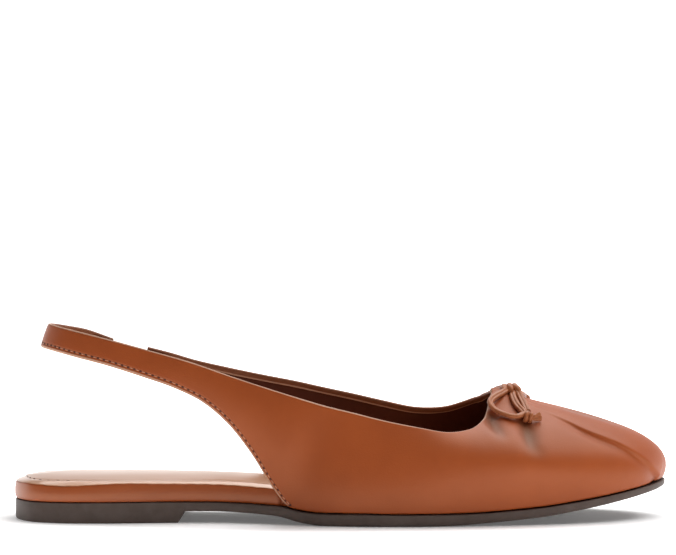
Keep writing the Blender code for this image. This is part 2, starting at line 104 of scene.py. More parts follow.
def combine(nodes, links, operation, *values):
    """Value worked out from other values and plain numbers."""
    made = nodes.new("ShaderNodeMath")
    made.operation = operation
    for socket, value in zip(made.inputs, values):
        if isinstance(value, float):
            socket.default_value = value
        else:
            links.new(value, socket)
    return made.outputs["Value"]


def own_place(nodes):
    """Place on the piece, in its own coordinates, for a texture to read."""
    return nodes.new("ShaderNodeTexCoord").outputs["Object"]


def fresh_material(name):
    """Material with its Principled shader, its nodes and its links."""
    material = bpy.data.materials.new(name)
    material.use_nodes = True
    tree = material.node_tree
    return material, tree.nodes["Principled BSDF"], tree.nodes, tree.links


# What the leather mirrors: bright low down behind the shoe, dark above it and towards the camera, which
# itself sees plain white
world = bpy.data.worlds.new("studio")
world.use_nodes = True
nodes, links = world.node_tree.nodes, world.node_tree.links
direction = nodes.new("ShaderNodeSeparateXYZ")
links.new(nodes.new("ShaderNodeTexCoord").outputs["Generated"], direction.inputs["Vector"])
behind = blend_value(nodes, links, direction.outputs["Y"], 0.0, 1.5, 0.0, 0.45, eased=True)
low_down = blend_value(nodes, links, direction.outputs["Z"], 0.05, 1.0, 0.50, 0.16, eased=True)
backdrop = combine(nodes, links, "MULTIPLY_ADD", behind, low_down, BACKDROP_LEAST)
seen = nodes.new("ShaderNodeLightPath").outputs["Is Camera Ray"]
links.new(combine(nodes, links, "MAXIMUM", seen, backdrop), nodes["Background"].inputs["Strength"])
nodes["Background"].inputs["Color"].default_value = (1, 1, 1, 1)
scene.world = world

sweep = bmesh.new()
bmesh.ops.create_grid(sweep, x_segments=24, y_segments=24, size=FLOOR_REACH)
sweep_data = bpy.data.meshes.new("white_sweep")
sweep.to_mesh(sweep_data)
sweep.free()
white_sweep = bpy.data.objects.new("white_sweep", sweep_data)
scene.collection.objects.link(white_sweep)
sweep_paint, shader, nodes, links = fresh_material("white_sweep")
settle(shader, {"Base Color": FLOOR_WHITE, "Roughness": 0.75, "Specular IOR Level": 0.15,
                "Emission Strength": 1.0})

# The sweep glows round the shoe, weakly under it, where its shadow lies, and not towards the camera
where = own_place(nodes)
oval = nodes.new("ShaderNodeVectorMath")
oval.operation = "MULTIPLY"
oval.inputs[1].default_value = GLOW_OVAL
reach = nodes.new("ShaderNodeVectorMath")
reach.operation = "LENGTH"
split = nodes.new("ShaderNodeSeparateXYZ")
links.new(where, oval.inputs[0])
links.new(oval.outputs["Vector"], reach.inputs[0])
links.new(where, split.inputs["Vector"])
glow = blend_value(nodes, links, reach.outputs["Value"], GLOW_UNDER, GLOW_ROUND, *GLOW_SPAN)
fading = blend_value(nodes, links, split.outputs["Y"], 0.0, 1.0, *GLOW_FADE)
links.new(combine(nodes, links, "MULTIPLY", glow, fading), shader.inputs["Emission Color"])
sweep_data.materials.append(sweep_paint)


# The outsole: one moulding of dark brown rubber with a low heel block under its back part. Its lower edge
# is rounded under, its upper edge is chamfered, and its tread is shallow. Stations are measured forward
# from the back of the heel, and SHOE_PLACE carries them to the frame.
LENGTH = 0.2476
HEEL_WIDTH = 0.0524
BALL_WIDTH = 0.0800
HEEL_LENGTH = 0.0634
BREAST_SLANT = 0.0023
WAIST_LIFT = 0.0042
TOE_SPRING = 0.0126
SOLE_THICKNESS = 0.0044
SOLE_ROUND = 0.0018
HEEL_ROUND = 0.0008
HEEL_INSET = 0.0006
SOLE_CHAMFER = 0.0004
END_REACH = 0.0400
TOE_TURN = 0.0360
CLEARANCE = 0.0003
WAIST_START = 0.27
BALL_START = 0.60
PLAN_STEPS = 24
TABLE_STEPS = 12
TURN_RIBS = 25
BLOCK_RIBS = 24
FOREPART_RIBS = 110
MERGE = 1e-6
TREAD_DEPTH = 0.0006

# Plan: station, outer edge and inner edge, as shares of the length and of the breadth
OUTLINE = (
    (0.000, 0.000, 0.000), (0.0105, 0.219, 0.210), (0.036, 0.387, 0.374), (0.081, 0.481, 0.470),
    (0.137, 0.500, 0.500), (0.202, 0.473, 0.485), (0.266, 0.431, 0.431), (0.323, 0.409, 0.376),
    (0.375, 0.430, 0.349), (0.423, 0.472, 0.349), (0.476, 0.500, 0.371), (0.532, 0.494, 0.403),
    (0.597, 0.480, 0.457), (0.665, 0.460, 0.505), (0.726, 0.428, 0.520), (0.794, 0.385, 0.510),
    (0.847, 0.340, 0.482), (0.903, 0.270, 0.436), (0.952, 0.168, 0.352), (0.982, 0.065, 0.262),
    (1.000, -0.100, 0.100),
)

# Side: station, lift of the waist, toe spring and thickness, as shares of their sizes
PROFILE = (
    (0.000, 1.00, 0.000, 0.77), (0.256, 1.00, 0.000, 0.77), (0.303, 0.98, 0.000, 0.77),
    (0.350, 0.90, 0.000, 0.78), (0.376, 0.81, 0.000, 0.80), (0.402, 0.70, 0.000, 0.84),
    (0.420, 0.50, 0.000, 0.89), (0.436, 0.25, 0.000, 0.93), (0.456, 0.08, 0.000, 0.97),
    (0.477, 0.00, 0.000, 1.00), (0.520, 0.00, 0.000, 1.00), (0.590, 0.00, 0.000, 0.95),
    (0.640, 0.00, 0.000, 0.95), (0.672, 0.00, 0.020, 0.92), (0.717, 0.00, 0.080, 0.84),
    (0.796, 0.00, 0.215, 0.79), (0.848, 0.00, 0.365, 0.73), (0.904, 0.00, 0.555, 0.66),
    (0.967, 0.00, 0.800, 0.60), (1.000, 0.00, 0.940, 0.56),
)


def smooth(rows, steps, closed=False):
    """Cubic curve through every row, with so many steps from each row to the next."""
    rows = np.asarray(rows, float)
    ahead = np.roll(rows, -1, axis=0) - rows
    gap = np.linalg.norm(ahead, axis=1)
    slope_out = ahead / np.maximum(gap, 1e-12)[:, None]
    slope_in, gap_in = np.roll(slope_out, 1, axis=0), np.roll(gap, 1)
    weight = (gap / (gap + gap_in))[:, None]
    slope = slope_in * weight + slope_out * (1 - weight)
    if not closed:
        slope[0], slope[-1] = slope_out[0], slope_in[-1]
    count = len(rows) if closed else len(rows) - 1
    t = (np.arange(steps) / steps)[None, :, None]
    start, end = rows[:count, None], np.roll(rows, -1, axis=0)[:count, None]
    leave = slope[:count, None] * gap[:count, None, None]
    arrive = np.roll(slope, -1, axis=0)[:count, None] * gap[:count, None, None]
    curve = (start * (2 * t ** 3 - 3 * t ** 2 + 1) + leave * (t ** 3 - 2 * t ** 2 + t)
             + end * (3 * t ** 2 - 2 * t ** 3) + arrive * (t ** 3 - t ** 2)).reshape(-1, rows.shape[1])
    return curve if closed else np.vstack([curve, rows[-1:]])


def column(table, index):
    """Rule that reads one column of a table at any station, as a smooth curve."""
    fine = smooth([(row[0], row[index]) for row in table], TABLE_STEPS)
    return lambda station: np.interp(np.asarray(station) / LENGTH, fine[:, 0], fine[:, 1])


waist_share, spring_share, thickness_share = (column(PROFILE, index) for index in (1, 2, 3))


def underside(station):
    """Height of the sole's underside, as if the heel were not there."""
    return np.maximum(0, waist_share(station) * WAIST_LIFT + spring_share(station) * TOE_SPRING)


def sole_top(station):
    """Height of the sole's top, which the footbed and the upper stand on."""
    return underside(station) + thickness_share(station) * SOLE_THICKNESS


def sole_bottom(station):
    """Height of the sole's underside with the heel's block below its back part."""
    return np.where(np.asarray(station) <= HEEL_LENGTH + CLEARANCE, 0, underside(station))


def breadth(share):
    """Breadth that the outline's shares follow: the heel's, growing into the ball's."""
    t = min(1, max(0, (share - WAIST_START) / (BALL_START - WAIST_START)))
    return HEEL_WIDTH + (BALL_WIDTH - HEEL_WIDTH) * t * t * (3 - 2 * t)


outer_plan = [(row[0] * LENGTH, -row[1] * breadth(row[0])) for row in OUTLINE]
inner_plan = [(row[0] * LENGTH, row[2] * breadth(row[0])) for row in OUTLINE]
PLAN = smooth(outer_plan + inner_plan[-2:0:-1], PLAN_STEPS, closed=True)
PLAN_TOE = (len(OUTLINE) - 1) * PLAN_STEPS
sole_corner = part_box("outsole")[0]
SHOE_PLACE = np.array([sole_corner.x, sole_corner.y - PLAN[:, 1].min(), 0])
turn = np.linspace(0, math.pi / 2, TURN_RIBS)
heel_turn = HEEL_WIDTH / 2 * (1 - np.cos(turn))
toe_turn = LENGTH - TOE_TURN * (1 - np.cos(turn))
breast_end = HEEL_LENGTH + BREAST_SLANT
RIBS = np.array(sorted([*heel_turn, *np.linspace(heel_turn[-1], HEEL_LENGTH, BLOCK_RIBS)[1:], breast_end,
                        *np.linspace(breast_end, toe_turn[-1], FOREPART_RIBS)[1:-1], *toe_turn]))


def ring(inset, height):
    """Outer and inner side of a ring round the plan, moved in by inset and at a height, both rules."""
    ahead = np.roll(PLAN, -1, axis=0) - np.roll(PLAN, 1, axis=0)
    inwards = np.stack([-ahead[:, 1], ahead[:, 0]], axis=1)
    inwards /= np.linalg.norm(inwards, axis=1)[:, None]
    moved = PLAN + inwards * (inset(PLAN[:, 0]) * np.ones(len(PLAN)))[:, None]
    x = RIBS + inset(RIBS) * (np.maximum(0, 1 - RIBS / END_REACH)
                              - np.maximum(0, 1 - (LENGTH - RIBS) / END_REACH))
    sides = []
    for edge in (moved[:PLAN_TOE + 1], np.vstack([moved[PLAN_TOE:], moved[:1]])):
        edge = edge[np.argsort(edge[:, 0])]
        sides.append(np.stack([x, np.interp(x, edge[:, 0], edge[:, 1]), height(x) * np.ones(len(x))], axis=1))
    return sides


def drape(points, mesh=None):
    """Grid whose crossings are moved to the places given, with its length and breadth as its UV map."""
    rows, columns = points.shape[:2]
    mesh = mesh or bmesh.new()
    mesh.loops.layers.uv.active or mesh.loops.layers.uv.new("laid_flat")
    laid = bmesh.ops.create_grid(mesh, x_segments=columns - 1, y_segments=rows - 1, size=1, calc_uvs=True)
    for vert in laid["verts"]:
        at_row = round((vert.co.y + 1) / 2 * (rows - 1))
        at_column = round((vert.co.x + 1) / 2 * (columns - 1))
        vert.co = points[at_row, at_column] + SHOE_PLACE
    return mesh


def joined(mesh, filled=False):
    """The mesh with doubled places merged, its ends filled where asked and its faces turned outwards."""
    bmesh.ops.remove_doubles(mesh, verts=mesh.verts, dist=MERGE)
    if filled:
        bmesh.ops.holes_fill(mesh, edges=[edge for edge in mesh.edges if edge.is_boundary], sides=0)
    bmesh.ops.recalc_face_normals(mesh, faces=mesh.faces)
    return mesh


def slab(rings, across, cover=None):
    """Closed layer of the sole from rings set one on another, its top and underside laid rib by rib."""
    low, high = rings[0], rings[-1]
    shares = np.linspace(0, 1, across + 1)[1:-1]
    loop = [low[1] * (1 - w) + low[0] * w for w in shares]
    loop += [sides[0] for sides in rings]
    for w in shares:
        line = high[0] * (1 - w) + high[1] * w
        if cover is not None:
            line[:, 2] += cover(line, w)
        loop.append(line)
    loop += [sides[1] for sides in rings[::-1]]
    return joined(drape(np.stack(loop + loop[:1])))


def dress(name, mesh, *materials, sharp=50):
    """Piece of the shoe from its mesh, riding on the shoe's one body."""
    data = bpy.data.meshes.new(name)
    mesh.to_mesh(data)
    mesh.free()
    data.shade_smooth()
    data.set_sharp_from_angle(angle=math.radians(sharp))
    for material in materials:
        data.materials.append(material)
    made = bpy.data.objects.new(name, data)
    scene.collection.objects.link(made)
    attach(made, "root")
    return made


def edge_turn(radius, inset, steps):
    """Insets and heights of the quarter round that turns a layer's lower or upper edge."""
    for angle in np.linspace(0, math.pi / 2, steps):
        inwards, along = 1 - math.cos(angle), 1 - math.sin(angle)
        yield (lambda x, share=inwards: inset(x) + share * radius(x),
               lambda x, share=along: share * radius(x))


def sole_edge(x):
    """Radius under the sole's edge: small at the heel block, larger at the thin forepart."""
    return np.where(x < breast_end, HEEL_ROUND,
                    np.minimum(SOLE_ROUND, 0.45 * (sole_top(x) - underside(x))))


def heel_inset(x):
    """The heel stands a little inside the wrapped footbed."""
    return HEEL_INSET * np.clip((breast_end - x) / 0.02, 0, 1)


sole_rings = [ring(inset, lambda x, lift=lift: sole_bottom(x) + lift(x))
              for inset, lift in list(edge_turn(sole_edge, heel_inset, 6))[::-1]]
sole_rings += [ring(inset, lambda x, drop=drop: sole_top(x) - drop(x))
               for inset, drop in edge_turn(lambda x: SOLE_CHAMFER + 0 * x, heel_inset, 4)]


def effect(name, **outputs):
    """Shader node group whose outputs have the socket kinds given, with its input and output node."""
    group = bpy.data.node_groups.new(name, "ShaderNodeTree")
    for socket, kind in outputs.items():
        group.interface.new_socket(socket, in_out="OUTPUT", socket_type=kind)
    inside = group.nodes.new("NodeGroupInput")
    outside = group.nodes.new("NodeGroupOutput")
    return group, inside, outside


def value_input(group, name, value):
    """Number that a material may set on an effect."""
    socket = group.interface.new_socket(name, in_out="INPUT", socket_type="NodeSocketFloat")
    socket.default_value = value


def texture_noise(nodes, links, vector, scale, detail=2.0, rough=0.5):
    """Noise texture that reads a place."""
    noise = nodes.new("ShaderNodeTexNoise")
    settle(noise, {"Detail": detail, "Roughness": rough})
    links.new(vector, noise.inputs["Vector"])
    if isinstance(scale, float):
        noise.inputs["Scale"].default_value = scale
    else:
        links.new(scale, noise.inputs["Scale"])
    return noise


def blend_colour(nodes, links, factor, first, second):
    """Colour that goes from the first to the second with the factor."""
    mix = nodes.new("ShaderNodeMix")
    mix.data_type = "RGBA"
    links.new(factor, mix.inputs["Factor"])
    for socket, colour in ((mix.inputs[6], first), (mix.inputs[7], second)):
        if isinstance(colour, tuple):
            socket.default_value = colour
        else:
            links.new(colour, socket)
    return mix.outputs[2]


def two_tones(nodes, links, shader, factor, first, second):
    """Base colour of a shader that goes from the first tone to the second with the factor."""
    tone = blend_colour(nodes, links, factor, first, second)
    links.new(tone, shader.inputs["Base Color"])
    return tone


def raise_bump(nodes, links, shader, height, distance, below=None):
    """Bump on a material's shader, over another bump where there is one."""
    bump = nodes.new("ShaderNodeBump")
    bump.inputs["Distance"].default_value = distance
    links.new(height, bump.inputs["Height"])
    if below is not None:
        links.new(below, bump.inputs["Normal"])
    links.new(bump.outputs["Normal"], shader.inputs["Normal"])
    return bump.outputs["Normal"]


RUBBER_DARK = (0.088, 0.060, 0.048, 1)
RUBBER_WORN = (0.112, 0.079, 0.065, 1)
rubber, shader, nodes, links = fresh_material("sole_rubber")
shader.inputs["Specular IOR Level"].default_value = 0.40
where = own_place(nodes)
mottle = texture_noise(nodes, links, where, 160.0, 4.0, 0.6)
grit = texture_noise(nodes, links, where, 2600.0, 2.0)
tilt = nodes.new("ShaderNodeSeparateXYZ")
links.new(nodes.new("ShaderNodeNewGeometry").outputs["Normal"], tilt.inputs["Vector"])
underneath = blend_value(nodes, links, tilt.outputs["Z"], 1.0, 0.0, -0.97, -0.90)
tread = nodes.new("ShaderNodeTexWave")
tread.bands_direction = "X"
tread.wave_profile = "TRI"
settle(tread, {"Scale": 110.0, "Distortion": 3.5, "Detail": 0.0, "Detail Scale": 0.6})
links.new(where, tread.inputs["Vector"])
two_tones(nodes, links, shader, blend_value(nodes, links, mottle.outputs["Fac"], 0, 1, 0.35, 0.70),
          RUBBER_DARK, RUBBER_WORN)
links.new(blend_value(nodes, links, grit.outputs["Fac"], 0.50, 0.68), shader.inputs["Roughness"])
fine = raise_bump(nodes, links, shader, grit.outputs["Fac"], 0.00004)
tread_height = combine(nodes, links, "MULTIPLY", tread.outputs["Fac"], underneath)
raise_bump(nodes, links, shader, tread_height, TREAD_DEPTH, fine)

outsole = dress("rubber_outsole", slab(sole_rings, 14), rubber, sharp=35)
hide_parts("outsole")


# The footbed: board and cushion wrapped in the same smooth leather as the upper. The wrap is pulled over
# the edge and lasted under it, so its side bulges a little and its upper lip is soft and slightly wavy.
FOOTBED_THICKNESS = 0.0074
FOOTBED_ROUND = 0.0024
FOOTBED_INSET = 0.0006
UPPER_INSET = 0.0008
WALL = 0.0017
WRAP_BULGE = 0.00030
WRAP_RIPPLE = 0.00005

# Wave of the wrap's edge, in millimetres: station and rise
WRAP_WAVE = ((0, 0.15), (8, 0.05), (22, -0.50), (32, -0.05), (42, 0.38), (58, 0.20), (75, 0.02),
             (95, -0.12), (112, 0.05), (140, 0.0), (260, 0.0))

# Shoulder from the wrap's side in to its flat top, in shares of the lip: inset and drop
SHOULDER = ((0.00, 0.80), (0.02, 0.68), (0.07, 0.58), (0.16, 0.49), (0.30, 0.41), (0.55, 0.30),
            (0.85, 0.17), (1.15, 0.07), (1.45, 0.0))

# Thickness of the footbed and inset of its side, by station, as shares of their sizes
FOOTBED = (
    (0.000, 1.00, 0.00), (0.300, 1.00, 0.00), (0.370, 0.98, 0.15), (0.425, 0.92, 1.00),
    (0.480, 0.78, 1.10), (0.560, 0.52, 1.10), (0.650, 0.42, 1.10), (1.000, 0.40, 1.10),
)
footbed_share, tuck_share = column(FOOTBED, 1), column(FOOTBED, 2)


def footbed_inset(station):
    """Inset of the footbed's side: small at the open heel, inside the upper's wall further forward."""
    return FOOTBED_INSET + tuck_share(station) * (UPPER_INSET + WALL)


def footbed_top(station):
    """Height of the footbed's flat top, under the sock."""
    return sole_top(station) + CLEARANCE + footbed_share(station) * FOOTBED_THICKNESS


wave = smooth(np.array(WRAP_WAVE) / 1000, 10)


def pulled(station):
    """Rise of the wrap's edge where it was pulled over unevenly."""
    return np.interp(station, wave[:, 0], wave[:, 1]) + WRAP_RIPPLE * np.sin(station * 1130)


def lip(x):
    """Radius of the wrap's upper lip."""
    return footbed_share(x) * FOOTBED_ROUND


def on_wrap(inset, drop, lift):
    """Ring that lies on the wrap's shoulder, so far in and down in shares of the lip, or a lift above it."""
    return ring(lambda x: footbed_inset(x) + inset * lip(x),
                lambda x: footbed_top(x) - drop * lip(x) + pulled(x) * min(1, drop / 0.4) + lift)


def wrap_side(share):
    """Ring of the footbed's wrap at a share of the way up its side."""
    bulge = SOLE_CHAMFER * max(0, 1 - 8 * share), WRAP_BULGE * math.sin(math.pi * share)

    def height(x):
        seat = sole_top(x) + CLEARANCE
        return seat + share * (footbed_top(x) - SHOULDER[0][1] * lip(x) + pulled(x) - seat)

    return ring(lambda x: footbed_inset(x) + bulge[0] - bulge[1], height)


footbed_rings = [wrap_side(share) for share in (0, 0.06, 0.12, 0.25, 0.4, 0.55, 0.7, 0.85)]
footbed_rings += [on_wrap(*row, 0) for row in SHOULDER]

# Smooth aniline leather: fine closed pores, a faint cloud in its tone and gloss
pores, inside, outside = effect("leather_pores", Height="NodeSocketFloat", Cloud="NodeSocketFloat")
value_input(pores, "Pore Scale", 1900.0)
value_input(pores, "Cloud Scale", 42.0)
nodes, links = pores.nodes, pores.links
where = own_place(nodes)
drift = texture_noise(nodes, links, where, 300.0, 1.0)
bent = nodes.new("ShaderNodeVectorMath")
bent.operation = "MULTIPLY_ADD"
bent.inputs[1].default_value = (0.0006, 0.0006, 0.0006)
links.new(drift.outputs["Color"], bent.inputs[0])
links.new(where, bent.inputs[2])
cells = nodes.new("ShaderNodeTexVoronoi")
cells.feature = "SMOOTH_F1"
cells.inputs["Smoothness"].default_value = 0.35
links.new(bent.outputs["Vector"], cells.inputs["Vector"])
links.new(inside.outputs["Pore Scale"], cells.inputs["Scale"])
fine = texture_noise(nodes, links, where, 4200.0, 2.0)
height = combine(nodes, links, "MULTIPLY_ADD", fine.outputs["Fac"], 0.25, cells.outputs["Distance"])
cloud = texture_noise(nodes, links, where, inside.outputs["Cloud Scale"], 3.0, 0.55)
links.new(height, outside.inputs["Height"])
links.new(blend_value(nodes, links, cloud.outputs["Fac"], 0, 1, 0.22, 0.78), outside.inputs["Cloud"])


def leather(name, deep, light, gloss, pore_scale=1900.0, pore_depth=0.00003, gleam=0.45):
    """Leather finish: two tones that cloud into each other, a gloss range and pores of a size and depth."""
    material, shader, nodes, links = fresh_material(name)
    settle(shader, {"Specular IOR Level": gleam, "Specular Tint": (1.0, 0.80, 0.60, 1)})
    grain = nodes.new("ShaderNodeGroup")
    grain.node_tree = pores
    grain.inputs["Pore Scale"].default_value = pore_scale
    tone = two_tones(nodes, links, shader, grain.outputs["Cloud"], deep, light)
    links.new(blend_value(nodes, links, grain.outputs["Cloud"], *gloss), shader.inputs["Roughness"])
    raise_bump(nodes, links, shader, grain.outputs["Height"], pore_depth)
    return material, shader, nodes, links, tone


TAN_DEEP = (0.325, 0.060, 0.011, 1)
TAN_LIGHT = (0.395, 0.080, 0.017, 1)
wrap_leather = leather("wrap_leather", TAN_DEEP, TAN_LIGHT, (0.42, 0.36), gleam=0.9)[0]
footbed = dress("wrapped_footbed", slab(footbed_rings, 10), wrap_leather)
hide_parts("footbed")


# The sock: a thin padded sheet of paler leather glued on the footbed, crowned along its middle. Its cut
# edge is pressed down over the wrap's shoulder, and a row of needle holes runs inside it round the heel.
SOCK_THICKNESS = 0.0009
SOCK_EDGE = 0.00022
SOCK_CROWN = 0.0014
SOCK_SWELL = 0.011
SOCK_CHANNEL = 0.0007
SOCK_DENT = 0.00020
SOCK_GLUE = 0.00003
SOCK_SHOULDER = [row for row in SHOULDER if row[0] > 0.1]


def padding(line, share):
    """Swell of the pad between its edges: full in the middle, pressed down where it is sewn."""
    across = np.abs(line[:, 1] - np.where(share < 0.5, sock_outer[:, 1], sock_inner[:, 1]))
    edge = np.minimum(across, np.minimum(line[:, 0], LENGTH - line[:, 0]))
    swell = 1 - np.exp(-(np.maximum(0, edge) / SOCK_SWELL) ** 1.3)
    seam = np.exp(-((edge - SOCK_CHANNEL) / 0.0006) ** 2)
    return (CLEARANCE + SOCK_THICKNESS - SOCK_EDGE + SOCK_CROWN) * swell - SOCK_DENT * seam


sock_rings = [on_wrap(*row, SOCK_GLUE) for row in SOCK_SHOULDER[::-1]]
sock_rings += [on_wrap(SOCK_SHOULDER[0][0] - 0.03, SOCK_SHOULDER[0][1], SOCK_EDGE * 0.45),
               on_wrap(*SOCK_SHOULDER[0], SOCK_EDGE * 0.9)]
sock_rings += [on_wrap(*row, SOCK_EDGE) for row in SOCK_SHOULDER[1:]]
sock_outer, sock_inner = sock_rings[-1]
SOCK_DEEP = (0.540, 0.250, 0.130, 1)
SOCK_LIGHT = (0.620, 0.310, 0.170, 1)
sock_leather, shader = leather("sock_leather", SOCK_DEEP, SOCK_LIGHT, (0.34, 0.28), 1500.0, 0.00001, 0.5)[:2]
settle(shader, {"Coat Weight": 0.9, "Coat Roughness": 0.28})
sock = dress("padded_sock", slab(sock_rings, 48, padding), sock_leather)
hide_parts("sock")


# The upper: vamp, quarters and strap of smooth tan leather over a brown lining, lasted onto the board and
# gathered under the bow. The leather is folded over the lining along its top, and turned in and sewn along
# the lower edge of the strap and the back edges of the quarters. Its creases come from the lasting.
INSTEP_HEIGHT = 0.0490
COLLAR_WIDTH = 0.0620
STRAP_HEIGHT = 0.0737
GATHER_HEIGHT = 0.0022
GATHER_STATION = 0.1850
GATHER_REACH = 0.0050
GATHER_BREADTH = 0.0070
RAY_STEPS = 36
UP_ROWS = 84
INNER_ROWS = 16
BELLY_CENTRE = 0.0743
BELLY_START = 0.15
FACING = 0.0015
RAW_EDGE = 0.00045
FACING_SHADE = 0.75
LINING_STEP = 0.00025
EDGE_SEAM = 0.0017

# Strap and back edge of the outer quarter, from the heel forwards. Lower edge, then top edge: station
# (share of LENGTH), across (share of COLLAR_WIDTH), height (share of STRAP_HEIGHT); then the belly
STRAP = (
    (0.040, 0.000, 0.878, 0.0525, 0.000, 1.000, 0.004),
    (0.0455, 0.120, 0.875, 0.0580, 0.120, 0.996, 0.004),
    (0.061, 0.208, 0.864, 0.0735, 0.207, 0.985, 0.004),
    (0.0905, 0.298, 0.840, 0.1000, 0.292, 0.965, 0.004),
    (0.150, 0.370, 0.791, 0.1590, 0.356, 0.917, 0.004),
    (0.2015, 0.395, 0.737, 0.2140, 0.376, 0.868, 0.006),
    (0.254, 0.412, 0.674, 0.2790, 0.413, 0.807, 0.010),
    (0.296, 0.435, 0.602, 0.3290, 0.442, 0.750, 0.018),
    (0.3325, 0.460, 0.497, 0.3675, 0.462, 0.708, 0.028),
    (0.368, 0.474, 0.345, 0.4040, 0.481, 0.669, 0.038),
    (0.398, 0.480, 0.185, 0.4380, 0.500, 0.634, 0.048),
)
STRAP_END = (0.137, 0.356, 0.795, 0.1425, 0.346, 0.913, 0.004)

# Back edge of the inner quarter, from the waist back to the elastic, in the same columns
QUARTER = (
    (0.398, 0.400, 0.185, 0.4280, 0.450, 0.687, 0.048),
    (0.368, 0.415, 0.345, 0.3900, 0.440, 0.712, 0.038),
    (0.3325, 0.415, 0.497, 0.3520, 0.428, 0.738, 0.028),
    (0.296, 0.410, 0.602, 0.3150, 0.416, 0.765, 0.018),
    (0.254, 0.400, 0.674, 0.2700, 0.400, 0.800, 0.010),
    (0.220, 0.392, 0.716, 0.2320, 0.386, 0.838, 0.006),
    (0.189, 0.385, 0.746, 0.1965, 0.371, 0.869, 0.004),
)

# Rays of the vamp and quarters from the sole's edge to the collar, round the toe from the outer side.
# Side (-1 outer, 1 inner) and station of the foot; the collar's station, across and height; the rise
# from the foot, outwards and up; the fall from the collar, along, across and up. Stations are shares
# of LENGTH, across of COLLAR_WIDTH and heights of INSTEP_HEIGHT
VAMP = (
    (-1, 0.423, 0.4705, -0.516, 0.904, 0.054, 0.20, -0.012, -0.030, -0.285),
    (-1, 0.476, 0.5175, -0.532, 0.847, 0.056, 0.20, -0.008, -0.040, -0.265),
    (-1, 0.541, 0.5690, -0.540, 0.784, 0.053, 0.20, -0.004, -0.056, -0.235),
    (-1, 0.614, 0.6180, -0.537, 0.737, 0.050, 0.20, 0.000, -0.088, -0.204),
    (-1, 0.687, 0.6580, -0.508, 0.704, 0.053, 0.21, 0.014, -0.153, -0.184),
    (-1, 0.755, 0.6890, -0.443, 0.718, 0.060, 0.23, 0.034, -0.234, -0.173),
    (-1, 0.820, 0.7050, -0.371, 0.755, 0.070, 0.25, 0.063, -0.274, -0.163),
    (-1, 0.876, 0.7155, -0.274, 0.806, 0.084, 0.27, 0.093, -0.274, -0.163),
    (-1, 0.927, 0.7220, -0.169, 0.880, 0.100, 0.29, 0.125, -0.226, -0.163),
    (-1, 0.969, 0.7270, -0.073, 0.944, 0.118, 0.31, 0.153, -0.129, -0.170),
    (1, 1.000, 0.7295, 0.016, 0.970, 0.132, 0.33, 0.174, 0.024, -0.180),
    (1, 0.969, 0.7290, 0.113, 0.970, 0.122, 0.33, 0.157, 0.161, -0.173),
    (1, 0.921, 0.7230, 0.202, 0.955, 0.104, 0.33, 0.129, 0.258, -0.173),
    (1, 0.856, 0.7110, 0.290, 0.925, 0.085, 0.33, 0.097, 0.290, -0.184),
    (1, 0.784, 0.6910, 0.363, 0.880, 0.070, 0.33, 0.061, 0.274, -0.204),
    (1, 0.707, 0.6610, 0.419, 0.835, 0.060, 0.31, 0.030, 0.210, -0.245),
    (1, 0.630, 0.6160, 0.452, 0.831, 0.059, 0.29, 0.004, 0.129, -0.276),
    (1, 0.553, 0.5675, 0.468, 0.878, 0.059, 0.27, -0.004, 0.081, -0.296),
    (1, 0.481, 0.5190, 0.468, 0.933, 0.056, 0.26, -0.008, 0.056, -0.316),
    (1, 0.423, 0.4705, 0.460, 0.985, 0.054, 0.25, -0.012, 0.040, -0.327),
)


def outline_point(side, station):
    """Point of the upper's foot on the plan, with the plan's outward direction there."""
    half = PLAN[:PLAN_TOE + 1] if side < 0 else PLAN[PLAN_TOE:]
    at = int(np.argmin(np.abs(half[:, 0] - station))) + (0 if side < 0 else PLAN_TOE)
    if station >= LENGTH:
        at = PLAN_TOE
    ahead = PLAN[(at + 1) % len(PLAN)] - PLAN[at - 1]
    return PLAN[at], np.array([ahead[1], -ahead[0]]) / np.linalg.norm(ahead)


def vamp_ray(row):
    """Four points that shape one ray from the sole's edge to the collar."""
    side, foot, top_x, top_y, top_z, out, up, fall_x, fall_y, fall_z = row
    edge, outwards = outline_point(side, foot * LENGTH)
    start = np.array([*(edge - outwards * UPPER_INSET), 0])
    start[2] = sole_top(start[0]) + CLEARANCE
    rise = np.array([*(outwards * out * COLLAR_WIDTH), up * INSTEP_HEIGHT])
    size = np.array([LENGTH, COLLAR_WIDTH, INSTEP_HEIGHT])
    top, fall = np.array([top_x, top_y, top_z]) * size, np.array([fall_x, fall_y, fall_z]) * size
    return np.concatenate([start, start + rise, top + fall, top])


def back_ray(row, side):
    """Four points that shape one ray across the strap or a quarter's back part."""
    size = np.array([LENGTH, side * COLLAR_WIDTH, STRAP_HEIGHT])
    low, top = np.array(row[:3]) * size, np.array(row[3:6]) * size
    outwards = ((low + top) / 2 - (BELLY_CENTRE, 0, 0)) * (0 if row[0] > BELLY_START else 1, 1, 0)
    outwards *= row[6] * COLLAR_WIDTH / np.linalg.norm(outwards)
    return np.concatenate([low, low + (top - low) / 3 + outwards, low + (top - low) * 2 / 3 + outwards, top])


